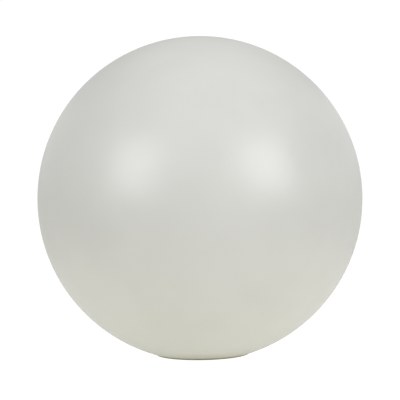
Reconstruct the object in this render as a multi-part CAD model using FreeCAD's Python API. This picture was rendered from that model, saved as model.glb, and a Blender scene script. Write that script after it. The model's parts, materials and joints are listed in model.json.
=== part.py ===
# Cordless garden globe lamp: a moulded globe that twists onto a sealed light and battery base.
# Millimetres, +Z up. The origin is on the floor, on the globe's axis. The recess in the
# underside runs along X, with the power button on the -X side and the charging port on +X.
import FreeCAD, Part
import math
import os

Vector = FreeCAD.Vector
UP = Vector(0, 0, 1)
DOWN = Vector(0, 0, -1)
ORIGIN = Vector(0, 0, 0)

# Globe, a hollow moulding with a round opening in its flat floor
globe_diameter = 400.0
globe_wall = 3.0
globe_edge_round = 4.0

# Bayonet: lugs on the light module pass notches in the globe's floor and turn under its ledges
bayonet_count = 3
lug_half_angle = 14.0
notch_side_angle = 3.0
stop_side_angle = 1.5
opening_gap = 1.0
ledge_reach = 4.0
notch_gap = 0.5
lug_clearance = 0.3
lug_thickness = 3.0
lug_root = 0.8
gusset_height = 4.0
gusset_thickness = 1.6
gusset_angle_shares = (-0.7, 0.0, 0.7)
stop_height = 3.6
stop_side_gap = 0.5

# Base plate, the round flange that the globe sits on
plate_thickness = 1.5
plate_edge_round = 0.5
flange_lip = 4.5
flat_margin = 2.5
foot_proud = 1.0
foot_seat_depth = 0.6
foot_width = 4.4
foot_land = 1.0
foot_gap = 0.15
foot_edge_round = 0.4
gasket_land = 0.6
gasket_width = 1.8
gasket_seat_depth = 0.8
gasket_proud = 0.2
rim_gasket_inset = 0.5
rim_gasket_width = 1.5
rim_gasket_depth = 0.7
spigot_height = 3.0
spigot_wall = 1.6
spigot_gap = 0.3
rib_count = 8
rib_height = 1.8
rib_thickness = 1.4

# Recess in the underside, for the fingers that press the button and open the port
recess_depth = 6.0
recess_corner = 5.0
recess_side_gap = 4.5
recess_mouth_round = 0.8
button_offset = 16.0
port_offset = 16.0

# Power button, with its return spring, clip and switch
button_diameter = 15.0
button_gap = 0.5
button_drop = 3.0
button_travel = 1.5
button_top_gap = 0.3
button_edge_round = 0.8
well_depth = 1.8
stem_diameter = 6.0
stem_gap = 0.1
collar_wall = 2.2
collar_height = 1.4
o_ring_section = 1.0
o_ring_gap = 0.1
clip_thickness = 0.6
clip_reach = 2.0
clip_bite = 0.6
clip_slot_width = 3.0
clip_gap = 0.05
stem_tip_length = 0.8
spring_wire = 0.45
spring_clear = 0.35
spring_pocket_depth = 2.0
spring_turns = 4
spring_end_gap = 0.1
switch_width = 8.4
switch_gap = 0.4
plunger_diameter = 3.0
plunger_gap = 0.1
switch_cap = 0.6

# Charging port: a round power jack behind a hinged door with a rubber plug
socket_height = 10.4
socket_width = 9.6
socket_length = 11.0
socket_corner = 0.8
socket_bore = 5.7
socket_depth = 9.2
socket_pin_diameter = 2.0
socket_pin_length = 8.0
seal_thickness = 0.8
seal_width = 1.6
port_hole_gap = 0.3
door_thickness = 2.0
door_top_gap = 0.2
door_side_reach = 3.0
door_end_reach = 4.0
door_corner = 2.0
door_lip_length = 1.6
door_lip_thickness = 1.0
door_lip_share = 0.5
plug_end_gap = 0.2
plug_diameter = 8.4
plug_taper = 0.3
hinge_reach = 5.8
hinge_gap = 0.3
hinge_wall_gap = 2.2
knuckle_radius = 1.8
knuckle_length = 10.0
ear_thickness = 2.0
hinge_pin_diameter = 1.6
hinge_pin_gap = 0.06

# Light module housing, an inverted cup
housing_wall = 2.5
housing_edge_round = 1.6
deck_thickness = 2.6
boss_radius = 3.6
boss_inset = 4.5
boss_side_gap = 4.7
web_thickness = 2.0
post_radius = 3.2
post_gap = 2.2
cradle_thickness = 2.2
cradle_wrap = 3.2
cradle_shares = (-0.68, 0.0, 0.68)
clamp_post_share = 0.55

# Battery cells, side by side along Y
cell_diameter = 18.4
cell_length = 65.2
cell_gap = 0.4
cell_edge_round = 0.9
cell_nub_diameter = 5.6
cell_nub_height = 1.0
cell_bead_inset = 3.4
cell_bead_depth = 0.35
cell_bead_width = 1.2
cell_headroom = 0.4
cell_fit = 0.1
pack_corner_gap = 3.0
strap_thickness = 0.3
strap_width = 6.0
strap_overlap_share = 0.7
clamp_thickness = 2.0
clamp_side_wall = 1.6
clamp_wrap = 5.6
clamp_length_share = 0.72
clamp_window_share = 0.3
clamp_ear_margin = 0.4

# Control board and what it carries
board_thickness = 1.6
board_gap = 0.5
board_headroom = 3.0
pipe_diameter = 3.0
pipe_gap = 0.1
pipe_inset = 0.3
pipe_flange_reach = 1.1
pipe_flange_thickness = 1.0
status_led_height = 1.3
status_led_width = 3.2
coil_radius = 5.2
coil_height = 5.0
coil_core_radius = 2.4
coil_flange_thickness = 0.8
coil_flange_reach = 0.8
coil_place_shares = (0.0, 0.66)
can_radius = 3.2
can_height = 6.5
can_place_shares = ((-0.42, 0.56), (-0.42, -0.56))
can_round = 0.5
chip_width = 5.0
chip_length = 6.2
chip_height = 1.5
chip_place_shares = ((0.5, 0.5), (0.0, -0.48), (0.5, -0.5))
connector_width = 7.6
connector_depth = 5.8
connector_height = 6.0
connector_side_gap = 0.8

# Leads inside the housing
lead_diameter = 1.8
lead_end_clear = 3.2
lead_bend_share = 0.45
lead_pad_inset = 4.4
lead_rise = 2.4
lead_loop_height = 3.4
lead_landing = 4.4
grommet_wall = 1.2
grommet_lip = 0.9
grommet_lip_thickness = 0.8

# Light board on its heat spreader
spreader_thickness = 2.5
spreader_margin = 2.5
spreader_rim_width = 1.6
spreader_rim_height = 2.2
thermal_pad_thickness = 0.4
thermal_pad_inset = 0.5
light_board_thickness = 1.6
light_board_edge = 1.5
led_width = 3.5
led_height = 1.2
led_lens_radius = 1.4
led_lens_depth = 0.3
led_ring_counts = (1, 6, 12)
led_ring_shares = (0.0, 0.31, 0.6)
light_screw_share = 0.86
light_screw_count = 3

# Clear dome over the light board
dome_gap = 1.2
dome_wall = 1.8
dome_rise = 26.0
dome_skirt_height = 6.0
dome_flange_thickness = 2.4
dome_flange_inset = 1.5
dome_gasket_gap = 0.6
dome_gasket_width = 1.4
dome_gasket_depth = 0.8
dome_gasket_land = 0.2

# Screws: body screws hold the plate and the dome, small ones the inner parts
body_head_radius = 2.8
body_head_height = 1.8
body_shank_radius = 1.5
body_shank_length = 11.0
small_head_radius = 2.0
small_head_height = 1.4
small_shank_radius = 1.0
small_shank_length = 6.0
head_round_share = 0.45
screw_gap = 0.05
hole_gap = 0.2
head_gap = 0.5
counterbore_depth = 2.2
counterbore_roof = 1.4
pilot_extra = 1.2

# Working values: how far cuts overrun, how close two sizes must be to match, and how steep an
# edge must be to count as standing
overrun = 1.0
match_error = 0.000001
upright_share = 0.5

# Radii that follow from the sizes above, from the middle outwards
cell_radius = cell_diameter / 2
cell_offset = cell_radius + cell_gap / 2
pack_half_width = cell_offset + cell_radius
pack_half_length = cell_length / 2
post_x = pack_half_width + post_gap + post_radius
lead_radius = lead_diameter / 2
lead_hole_radius = lead_radius + grommet_wall
light_board_radius = post_x + lead_hole_radius + light_board_edge
spreader_radius = light_board_radius + spreader_margin
dome_inner_radius = spreader_radius + dome_gap
dome_outer_radius = dome_inner_radius + dome_wall
dome_gasket_inner = dome_outer_radius + dome_gasket_gap
dome_gasket_outer = dome_gasket_inner + dome_gasket_width
seal_need = dome_gasket_outer + dome_gasket_land + body_head_radius + boss_inset
pack_need = math.hypot(pack_half_width, pack_half_length + strap_thickness) + pack_corner_gap
housing_inner_radius = max(seal_need, pack_need)
housing_radius = housing_inner_radius + housing_wall
boss_circle_radius = housing_inner_radius - boss_inset
boss_x = pack_half_width + boss_side_gap + boss_radius
boss_y = math.sqrt(boss_circle_radius ** 2 - boss_x ** 2)
boss_places = [(x, y) for x in (boss_x, -boss_x) for y in (boss_y, -boss_y)]
board_radius = boss_circle_radius - boss_radius - board_gap
opening_radius = housing_radius + opening_gap
lug_radius = opening_radius + ledge_reach
notch_radius = lug_radius + notch_gap
gasket_inner = notch_radius + gasket_land
gasket_outer = gasket_inner + gasket_width
flange_radius = gasket_outer + flange_lip
flat_radius = flange_radius + flat_margin
foot_outer = gasket_inner - foot_land
foot_inner = foot_outer - foot_width
spigot_outer = housing_inner_radius - spigot_gap
spigot_inner = spigot_outer - spigot_wall
rim_gasket_inner = housing_inner_radius + rim_gasket_inset
rim_gasket_outer = rim_gasket_inner + rim_gasket_width

# Heights that follow, from the floor upwards
plate_under = foot_proud
plate_top = plate_under + plate_thickness
globe_under = plate_top + gasket_proud
globe_floor = globe_under + globe_wall
globe_radius = globe_diameter / 2
globe_centre = globe_under + math.sqrt(globe_radius ** 2 - flat_radius ** 2)
lug_low = globe_floor + lug_clearance
lug_high = lug_low + lug_thickness
recess_top = plate_under + recess_depth
ceiling_top = recess_top + plate_thickness
socket_low = ceiling_top + seal_thickness
board_low = socket_low + socket_height
board_top = board_low + board_thickness
clamp_low = board_top + board_headroom
clamp_high = clamp_low + clamp_thickness
cell_axis = clamp_high + cell_radius
deck_low = cell_axis + cell_radius + cell_headroom
deck_top = deck_low + deck_thickness
spreader_top = deck_top + spreader_thickness
light_board_low = spreader_top + thermal_pad_thickness
light_board_top = light_board_low + light_board_thickness
dome_flange_top = deck_top + dome_flange_thickness
plate_boss_top = plate_under + counterbore_depth + counterbore_roof

# The recess and what opens into it
button_x = -button_offset
port_x = port_offset
button_radius = button_diameter / 2
well_radius = button_radius + button_gap
well_top = recess_top + well_depth
well_roof = well_top + plate_thickness
collar_top = well_roof + collar_height
stem_radius = stem_diameter / 2
guide_radius = stem_radius + stem_gap
collar_radius = guide_radius + collar_wall
stem_top = collar_top + clip_thickness + stem_tip_length
plug_radius = plug_diameter / 2
port_hole_radius = plug_radius + port_hole_gap
door_half_width = port_hole_radius + door_side_reach
door_free_x = port_x - port_hole_radius - door_end_reach
hinge_x = port_x + port_hole_radius + hinge_reach
hinge_z = recess_top - hinge_gap - knuckle_radius
recess_end = hinge_x + knuckle_radius + hinge_wall_gap
recess_half_width = door_half_width + recess_side_gap
pipe_x = (button_x + well_radius + door_free_x) / 2

# Angles of the bayonet, in degrees
sector_angle = 360 / bayonet_count
unlock_angle = sector_angle / 2
notch_half_angle = lug_half_angle + notch_side_angle


# Shapes that several parts are made from

def disc(radius, low, high, x=0, y=0):
    """Upright cylinder between two heights."""
    return Part.makeCylinder(radius, high - low, Vector(x, y, low))


def ring(outer, inner, low, high, x=0, y=0):
    """Upright tube between two heights."""
    return disc(outer, low, high, x, y).cut(disc(inner, low, high, x, y))


def block(x_low, x_high, y_low, y_high, z_low, z_high):
    """Box between two corners."""
    size = (x_high - x_low, y_high - y_low, z_high - z_low)
    return Part.makeBox(*size, Vector(x_low, y_low, z_low))


def outline_face(corners):
    """Flat face in the XZ plane, from (radius, height) corners."""
    points = [Vector(radius, 0, height) for radius, height in corners]
    return Part.Face(Part.makePolygon(points + points[:1]))


def sector(outer, inner, low, high, middle, half_angle):
    """Piece of a ring, half_angle to each side of its middle angle."""
    face = outline_face([(inner, low), (outer, low), (outer, high), (inner, high)])
    piece = face.revolve(ORIGIN, UP, 2 * half_angle)
    piece.rotate(ORIGIN, UP, middle - half_angle)
    return piece


def standing_edges(shape):
    """Upright edges of a block."""
    return [edge for edge in shape.Edges if abs(edge.tangentAt(edge.FirstParameter).z) > upright_share]


def rounded_plate(x_low, x_high, half_width, low, high, corner):
    """Upright block with its four standing edges rounded."""
    shape = block(x_low, x_high, -half_width, half_width, low, high)
    return shape.makeFillet(corner, standing_edges(shape))


def circle_edges(shape, radius, height):
    """Full circles of one radius at one height."""
    found = []
    for edge in shape.Edges:
        if edge.Degenerated or not isinstance(edge.Curve, Part.Circle):
            continue
        same_size = math.isclose(edge.Curve.Radius, radius, abs_tol=match_error)
        if same_size and math.isclose(edge.Curve.Center.z, height, abs_tol=match_error):
            found.append(edge)
    return found


def cap_arc(radius, low, top):
    """Arc of a circle centred on the axis, from (radius, low) up to the axis at top."""
    rise = top - low
    bend = (radius ** 2 + rise ** 2) / (2 * rise)
    half = math.atan2(rise, radius)
    middle = Vector(bend * math.sin(half), 0, top - bend + bend * math.cos(half))
    return Part.Arc(Vector(radius, 0, low), middle, Vector(0, 0, top)).toShape()


def line(start, end):
    """Straight edge between two (radius, height) points of the XZ plane."""
    return Part.LineSegment(Vector(start[0], 0, start[1]), Vector(end[0], 0, end[1])).toShape()


def screw(x, y, seat, head_radius, head_height, shank_radius, shank_length, upward):
    """Pan-head screw whose head bears on the height seat. Upward ones are driven from below."""
    head = Part.makeCylinder(head_radius, head_height, Vector(x, y, seat), DOWN if upward else UP)
    crown = seat - head_height if upward else seat + head_height
    head = head.makeFillet(head_height * head_round_share, circle_edges(head, head_radius, crown))
    shank = Part.makeCylinder(shank_radius, shank_length, Vector(x, y, seat), UP if upward else DOWN)
    return head.fuse(shank)


def body_screw(x, y, seat, upward):
    return screw(x, y, seat, body_head_radius, body_head_height,
                 body_shank_radius, body_shank_length, upward)


def small_screw(x, y, seat, upward):
    return screw(x, y, seat, small_head_radius, small_head_height,
                 small_shank_radius, small_shank_length, upward)


def bent_path(points, bend_share):
    """Straight runs through the points, joined by tangent arcs that use a share of the shorter run."""
    edges = []
    start = points[0]
    for before, corner, after in zip(points, points[1:], points[2:]):
        back = before - corner
        ahead = after - corner
        reach = bend_share * min(back.Length, ahead.Length)
        back.normalize()
        ahead.normalize()
        enter = corner + back * reach
        leave = corner + ahead * reach
        inward = (back + ahead).normalize()
        half_turn = back.getAngle(ahead) / 2
        to_centre = reach / math.cos(half_turn)
        bend = reach * math.tan(half_turn)
        middle = corner + inward * (to_centre - bend)
        edges.append(Part.LineSegment(start, enter).toShape())
        edges.append(Part.Arc(enter, middle, leave).toShape())
        start = leave
    edges.append(Part.LineSegment(start, points[-1]).toShape())
    return Part.Wire(edges)


def tube(points, radius, bend_share):
    """Round lead along a bent path."""
    path = bent_path(points, bend_share)
    heading = points[1] - points[0]
    section = Part.Wire(Part.Circle(points[0], heading, radius).toShape())
    return path.makePipeShell([section], True, False)


# The globe

def globe_shell():
    """Hollow ball with a flat floor, its opening, three notches and the blocks that stop the twist."""
    inner_radius = globe_radius - globe_wall
    floor_radius = math.sqrt(inner_radius ** 2 - (globe_centre - globe_floor) ** 2)
    outer = Part.Arc(Vector(flat_radius, 0, globe_under), Vector(globe_radius, 0, globe_centre),
                     Vector(0, 0, globe_centre + globe_radius)).toShape()
    inner = Part.Arc(Vector(0, 0, globe_centre + inner_radius), Vector(inner_radius, 0, globe_centre),
                     Vector(floor_radius, 0, globe_floor)).toShape()
    wire = Part.Wire([
        line((opening_radius, globe_under), (flat_radius, globe_under)),
        outer,
        line((0, globe_centre + globe_radius), (0, globe_centre + inner_radius)),
        inner,
        line((floor_radius, globe_floor), (opening_radius, globe_floor)),
        line((opening_radius, globe_floor), (opening_radius, globe_under)),
    ])
    shell = Part.Face(wire).revolve(ORIGIN, UP, 360)
    shell = shell.makeFillet(globe_edge_round, circle_edges(shell, flat_radius, globe_under))
    stop_start = lug_half_angle + stop_side_angle
    stop_end = unlock_angle - notch_half_angle
    for turn in range(bayonet_count):
        middle = turn * sector_angle
        notch = sector(notch_radius, opening_radius - overrun, globe_under - overrun,
                       globe_floor + overrun, middle + unlock_angle, notch_half_angle)
        stop = sector(notch_radius - stop_side_gap, opening_radius + stop_side_gap,
                      globe_floor - globe_wall / 2, globe_floor + stop_height,
                      middle + (stop_start + stop_end) / 2, (stop_end - stop_start) / 2)
        shell = shell.cut(notch).fuse(stop)
    return shell


# The base plate and what is fitted to its faces

def recess_tub():
    """Outside and inside of the recess, both without the button's well."""
    outer = rounded_plate(-recess_end - plate_thickness, recess_end + plate_thickness,
                          recess_half_width + plate_thickness, plate_under, ceiling_top,
                          recess_corner + plate_thickness)
    inner = rounded_plate(-recess_end, recess_end, recess_half_width,
                          plate_under - overrun, recess_top, recess_corner)
    return outer, inner


def recess_mouth_edges(plate):
    """Edges round the recess, in the plate's lower face."""
    edges = []
    for edge in plate.Edges:
        box = edge.BoundBox
        level = max(abs(box.ZMin - plate_under), abs(box.ZMax - plate_under)) < match_error
        inside = box.XMax < recess_end + overrun and box.YMax < recess_half_width + overrun
        inside = inside and box.YMin > -recess_half_width - overrun
        if level and inside:
            edges.append(edge)
    return edges


def plate_ribs():
    """Radial ribs that stiffen the plate between the recess and the spigot."""
    ribs = []
    for turn in range(rib_count):
        rib = block(0, spigot_inner + spigot_wall / 2, -rib_thickness / 2, rib_thickness / 2,
                    plate_top - plate_thickness / 2, plate_top + rib_height)
        rib.rotate(ORIGIN, UP, (turn + 0.5) * 360 / rib_count)
        ribs.append(rib)
    return ribs


def hinge_ears():
    """Two ears that hang from the recess ceiling and hold the door's pin."""
    ears = []
    for side in (1, -1):
        near = side * (knuckle_length / 2 + hinge_gap)
        far = near + side * ear_thickness
        low, high = min(near, far), max(near, far)
        barrel = Part.makeCylinder(knuckle_radius, ear_thickness, Vector(hinge_x, low, hinge_z),
                                   Vector(0, 1, 0))
        stalk = block(hinge_x - knuckle_radius, hinge_x + knuckle_radius, low, high,
                      hinge_z, recess_top + plate_thickness / 2)
        ears.append(barrel.fuse(stalk))
    return ears


def base_plate():
    """Flange with the recess, the button's guide, the port, the grooves and the screw seats."""
    plate = disc(flange_radius, plate_under, plate_top)
    rims = circle_edges(plate, flange_radius, plate_under) + circle_edges(plate, flange_radius, plate_top)
    plate = plate.makeFillet(plate_edge_round, rims)
    spigot = ring(spigot_outer, spigot_inner, plate_top - plate_thickness / 2, plate_top + spigot_height)
    for x, y in boss_places:
        spigot = spigot.cut(disc(boss_radius + hole_gap, plate_boss_top, deck_low, x, y))
    tub, hollow = recess_tub()
    bosses = [disc(boss_radius + hole_gap, plate_under, plate_boss_top, x, y) for x, y in boss_places]
    well = disc(well_radius + plate_thickness, recess_top, well_roof, button_x)
    collar = disc(collar_radius, well_top, collar_top, button_x)
    plate = plate.multiFuse([spigot, tub, well, collar] + bosses + plate_ribs())
    hollow = hollow.fuse(disc(well_radius, recess_top - overrun, well_top, button_x))
    cuts = [
        hollow,
        disc(guide_radius, well_top - overrun, collar_top + overrun, button_x),
        disc(stem_radius + o_ring_gap + o_ring_section, collar_top - o_ring_section,
             collar_top + overrun, button_x),
        disc(port_hole_radius, recess_top - overrun, ceiling_top + overrun, port_x),
        disc(pipe_diameter / 2 + pipe_gap, recess_top - overrun, ceiling_top + overrun, pipe_x),
        ring(foot_outer + foot_gap, foot_inner - foot_gap, plate_under - overrun,
             plate_under + foot_seat_depth),
        ring(gasket_outer, gasket_inner, plate_top - gasket_seat_depth, plate_top + overrun),
        ring(rim_gasket_outer, rim_gasket_inner, plate_top - rim_gasket_depth, plate_top + overrun),
    ]
    for x, y in boss_places:
        cuts.append(disc(body_head_radius + head_gap, plate_under - overrun,
                         plate_under + counterbore_depth, x, y))
        cuts.append(disc(body_shank_radius + hole_gap, plate_under, plate_boss_top + overrun, x, y))
    for cut in cuts:
        plate = plate.cut(cut)
    plate = plate.makeFillet(recess_mouth_round, recess_mouth_edges(plate))
    plate = plate.multiFuse(hinge_ears())
    pin_length = 2 * (knuckle_length + ear_thickness)
    pin_hole = Part.makeCylinder(hinge_pin_diameter / 2, pin_length,
                                 Vector(hinge_x, -pin_length / 2, hinge_z), Vector(0, 1, 0))
    return plate.cut(pin_hole)


def foot_ring():
    """Rubber ring in the plate's lower groove, with its lower edges eased."""
    foot = ring(foot_outer, foot_inner, 0, plate_under + foot_seat_depth)
    lower = circle_edges(foot, foot_outer, 0) + circle_edges(foot, foot_inner, 0)
    return foot.makeFillet(foot_edge_round, lower)


def globe_gasket():
    """Flat ring that the globe's floor rests on."""
    return ring(gasket_outer, gasket_inner, plate_top - gasket_seat_depth, globe_under)


def rim_gasket():
    """Ring under the housing's rim."""
    return ring(rim_gasket_outer, rim_gasket_inner, plate_top - rim_gasket_depth, plate_top)


def base_screws():
    """Four screws that hold the base plate to the housing."""
    seat = plate_under + counterbore_depth
    return Part.makeCompound([body_screw(x, y, seat, True) for x, y in boss_places])


# The power button

def power_button():
    """Pressed cap with a pocket for the spring and a stem that ends above its clip."""
    cap_low = recess_top - button_drop
    cap_top = well_top - button_travel - button_top_gap
    cap = disc(button_radius, cap_low, cap_top, button_x)
    cap = cap.makeFillet(button_edge_round, circle_edges(cap, button_radius, cap_low))
    pocket = ring(button_radius - plate_thickness, stem_radius, cap_top - spring_pocket_depth,
                  cap_top + overrun, button_x)
    stem = disc(stem_radius, cap_low + button_drop / 2, stem_top, button_x)
    groove = ring(stem_radius + overrun, stem_radius - clip_bite, collar_top,
                  collar_top + clip_thickness + clip_gap, button_x)
    return cap.cut(pocket).fuse(stem).cut(groove)


def button_clip():
    """Open clip in the stem's groove that keeps the button in."""
    clip = ring(stem_radius + clip_reach, stem_radius - clip_bite + clip_gap,
                collar_top, collar_top + clip_thickness, button_x)
    slot = block(button_x, button_x + stem_diameter, -clip_slot_width / 2, clip_slot_width / 2,
                 collar_top - overrun, collar_top + clip_thickness + overrun)
    return clip.cut(slot)


def button_spring():
    """Coil spring between the button's pocket and the roof of its well."""
    cap_top = well_top - button_travel - button_top_gap
    low = cap_top - spring_pocket_depth + spring_wire / 2 + spring_end_gap
    high = well_top - spring_wire / 2 - spring_end_gap
    radius = stem_radius + spring_clear + spring_wire / 2
    coil = Part.makeHelix((high - low) / spring_turns, high - low, radius)
    section = Part.Wire(Part.Circle(Vector(radius, 0, 0), Vector(0, 1, 0), spring_wire / 2).toShape())
    spring = Part.Wire(coil).makePipeShell([section], True, False)
    spring.translate(Vector(button_x, 0, low))
    return spring


def button_o_ring():
    """Seal round the stem, in the top of the guide."""
    return ring(stem_radius + o_ring_gap + o_ring_section, stem_radius + o_ring_gap,
                collar_top - o_ring_section, collar_top, button_x)


def switch_levels():
    """Lowest face of the switch body, and the top of its plunger at rest."""
    body_low = stem_top + button_travel + switch_gap
    plunger_top = board_low - switch_cap - button_travel - switch_gap
    return body_low, plunger_top


def power_switch():
    """Push switch under the control board, with the bore that its plunger slides in."""
    body_low = switch_levels()[0]
    half = switch_width / 2
    body = block(button_x - half, button_x + half, -half, half, body_low, board_low)
    return body.cut(disc(plunger_diameter / 2 + plunger_gap, body_low - overrun,
                         board_low - switch_cap, button_x))


def switch_plunger():
    """Plunger that the button's stem pushes."""
    return disc(plunger_diameter / 2, stem_top, switch_levels()[1], button_x)


# The charging port

def charge_socket():
    """Power jack that hangs from the board, its mouth behind the port's hole."""
    body = block(port_x - socket_width / 2, port_x + socket_width / 2,
                 -socket_length / 2, socket_length / 2, socket_low, board_low)
    body = body.makeFillet(socket_corner, standing_edges(body))
    return body.cut(disc(socket_bore / 2, socket_low - overrun, socket_low + socket_depth, port_x))


def socket_pin():
    """Centre contact of the jack, with a domed tip."""
    low = socket_low + socket_depth - socket_pin_length
    pin = disc(socket_pin_diameter / 2, low, socket_low + socket_depth, port_x)
    return pin.makeFillet(socket_pin_diameter / 4, circle_edges(pin, socket_pin_diameter / 2, low))


def socket_seal():
    """Ring between the jack's face and the recess ceiling, round the port's hole."""
    inner = socket_bore / 2
    outer = port_hole_radius + seal_width
    return ring(outer, inner, ceiling_top, socket_low, port_x)


def port_door():
    """Hinged door over the port, with a fingernail lip and a web that runs into its knuckle."""
    top = recess_top - door_top_gap
    low = top - door_thickness
    knuckle_x = hinge_x - knuckle_radius
    near_x = knuckle_x - hinge_gap * 2
    web_x = near_x - door_corner
    door = rounded_plate(door_free_x, near_x, door_half_width, low, top, door_corner)
    lip_half = door_half_width * door_lip_share
    lip = block(door_free_x - door_lip_length, door_free_x + door_corner, -lip_half, lip_half,
                low, low + door_lip_thickness)
    face = outline_face([(web_x, low), (hinge_x, hinge_z - knuckle_radius), (hinge_x, hinge_z),
                         (knuckle_x, hinge_z), (knuckle_x, top), (web_x, top)])
    web = face.extrude(Vector(0, knuckle_length, 0))
    web.translate(Vector(0, -knuckle_length / 2, 0))
    knuckle = Part.makeCylinder(knuckle_radius, knuckle_length,
                                Vector(hinge_x, -knuckle_length / 2, hinge_z), Vector(0, 1, 0))
    door = door.multiFuse([lip, web, knuckle])
    bore = Part.makeCylinder(hinge_pin_diameter / 2 + hinge_pin_gap, 2 * knuckle_length,
                             Vector(hinge_x, -knuckle_length, hinge_z), Vector(0, 1, 0))
    return door.cut(bore)


def port_plug():
    """Rubber plug on the door that fills the port's hole."""
    low = recess_top - door_top_gap
    height = ceiling_top - plug_end_gap - low
    return Part.makeCone(plug_radius, plug_radius - plug_taper, height, Vector(port_x, 0, low))


def port_hinge_pin():
    """Steel pin through both ears."""
    length = knuckle_length + 2 * (hinge_gap + ear_thickness)
    return Part.makeCylinder(hinge_pin_diameter / 2, length, Vector(hinge_x, -length / 2, hinge_z),
                             Vector(0, 1, 0))


# The light module's housing

def housing_lugs():
    """Bayonet lugs round the foot of the housing, each with gussets above it."""
    pieces = []
    for turn in range(bayonet_count):
        middle = turn * sector_angle
        pieces.append(sector(lug_radius, housing_radius - lug_root, lug_low, lug_high,
                             middle, lug_half_angle))
        for share in gusset_angle_shares:
            corners = [Vector(housing_radius - lug_root, -gusset_thickness / 2, lug_high - lug_root),
                       Vector(lug_radius - lug_root, -gusset_thickness / 2, lug_high - lug_root),
                       Vector(lug_radius - lug_root, -gusset_thickness / 2, lug_high),
                       Vector(housing_radius, -gusset_thickness / 2, lug_high + gusset_height),
                       Vector(housing_radius - lug_root, -gusset_thickness / 2, lug_high + gusset_height)]
            face = Part.Face(Part.makePolygon(corners + corners[:1]))
            gusset = face.extrude(Vector(0, gusset_thickness, 0))
            gusset.rotate(ORIGIN, UP, middle + share * lug_half_angle)
            pieces.append(gusset)
    return pieces


def cell_cradles():
    """Ribs under the deck, hollowed to the cells."""
    cradles = []
    low = deck_low - cradle_wrap
    for share in cradle_shares:
        y = share * pack_half_length
        rib = block(-pack_half_width, pack_half_width, y - cradle_thickness / 2, y + cradle_thickness / 2,
                    low, deck_low + deck_thickness / 2)
        for x in (cell_offset, -cell_offset):
            seat = Part.makeCylinder(cell_radius + cell_fit, cell_length,
                                     Vector(x, -pack_half_length, cell_axis), Vector(0, 1, 0))
            rib = rib.cut(seat)
        cradles.append(rib)
    return cradles


def clamp_post_places():
    reach = clamp_post_share * pack_half_length
    return [(x, y) for x in (post_x, -post_x) for y in (reach, -reach)]


def board_post_places():
    reach = connector_width / 2 + connector_side_gap + post_radius
    return [(x, y) for x in (post_x, -post_x) for y in (reach, -reach)]


def module_housing():
    """Inverted cup with its bosses, posts, cradles and lugs, and the seats in its deck."""
    cup = disc(housing_radius, plate_top, deck_top)
    cup = cup.makeFillet(housing_edge_round, circle_edges(cup, housing_radius, deck_top))
    cup = cup.cut(disc(housing_inner_radius, plate_top - overrun, deck_low))
    pieces = housing_lugs() + cell_cradles()
    into_deck = deck_low + deck_thickness / 2
    web_low = plate_top + spigot_height + spigot_gap
    for x, y in boss_places:
        pieces.append(disc(boss_radius, plate_boss_top, into_deck, x, y))
        web = block(boss_circle_radius, housing_inner_radius + housing_wall / 2,
                    -web_thickness / 2, web_thickness / 2, web_low, into_deck)
        web.rotate(ORIGIN, UP, math.degrees(math.atan2(y, x)))
        pieces.append(web)
    for x, y in clamp_post_places():
        pieces.append(disc(post_radius, clamp_high, into_deck, x, y))
    for x, y in board_post_places():
        pieces.append(disc(post_radius, board_top, into_deck, x, y))
    cup = cup.multiFuse(pieces)
    body_pilot = body_shank_radius + screw_gap
    small_pilot = small_shank_radius + screw_gap
    for x, y in boss_places:
        cup = cup.cut(disc(body_pilot, plate_boss_top - overrun,
                           plate_under + counterbore_depth + body_shank_length + pilot_extra, x, y))
        cup = cup.cut(disc(body_pilot, dome_flange_top - body_shank_length - pilot_extra,
                           deck_top + overrun, x, y))
    for x, y in clamp_post_places():
        cup = cup.cut(disc(small_pilot, clamp_high - overrun,
                           clamp_low + small_shank_length + pilot_extra, x, y))
    for x, y in board_post_places():
        cup = cup.cut(disc(small_pilot, board_top - overrun,
                           board_low + small_shank_length + pilot_extra, x, y))
    for x, y in light_screw_places():
        cup = cup.cut(disc(small_shank_radius + hole_gap, deck_low - overrun, deck_top + overrun, x, y))
    cup = cup.cut(disc(lead_hole_radius, deck_low - overrun, deck_top + overrun, post_x))
    return cup.cut(ring(dome_gasket_outer, dome_gasket_inner, deck_top - dome_gasket_depth,
                        deck_top + overrun))


# The battery

def battery_cell(x, nub_forward):
    """One cell along Y, with a beaded can and a raised positive end."""
    half = cell_length / 2
    shoulder = half - cell_nub_height
    bead_high = shoulder - cell_bead_inset
    bead_low = bead_high - cell_bead_width
    nub = cell_nub_diameter / 2
    corners = [(0, -half), (cell_radius, -half), (cell_radius, bead_low),
               (cell_radius - cell_bead_depth, (bead_low + bead_high) / 2), (cell_radius, bead_high),
               (cell_radius, shoulder), (nub, shoulder), (nub, half), (0, half)]
    cell = outline_face(corners).revolve(ORIGIN, UP, 360)
    ends = circle_edges(cell, cell_radius, -half) + circle_edges(cell, cell_radius, shoulder)
    cell = cell.makeFillet(cell_edge_round, ends)
    cell.rotate(ORIGIN, Vector(1, 0, 0), -90 if nub_forward else 90)
    cell.translate(Vector(x, 0, cell_axis))
    return cell


def cell_straps():
    """Welded strips: one joins the cells at the front end, two take the leads at the back."""
    half = strap_width / 2
    reach = cell_offset + cell_radius * strap_overlap_share
    end = pack_half_length + strap_thickness
    link = block(-reach, reach, pack_half_length, end, cell_axis - half, cell_axis + half)
    tabs = [block(x - half, x + half, -end, -pack_half_length, cell_axis - half, cell_axis + half)
            for x in (cell_offset, -cell_offset)]
    return Part.makeCompound([link] + tabs)


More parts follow.
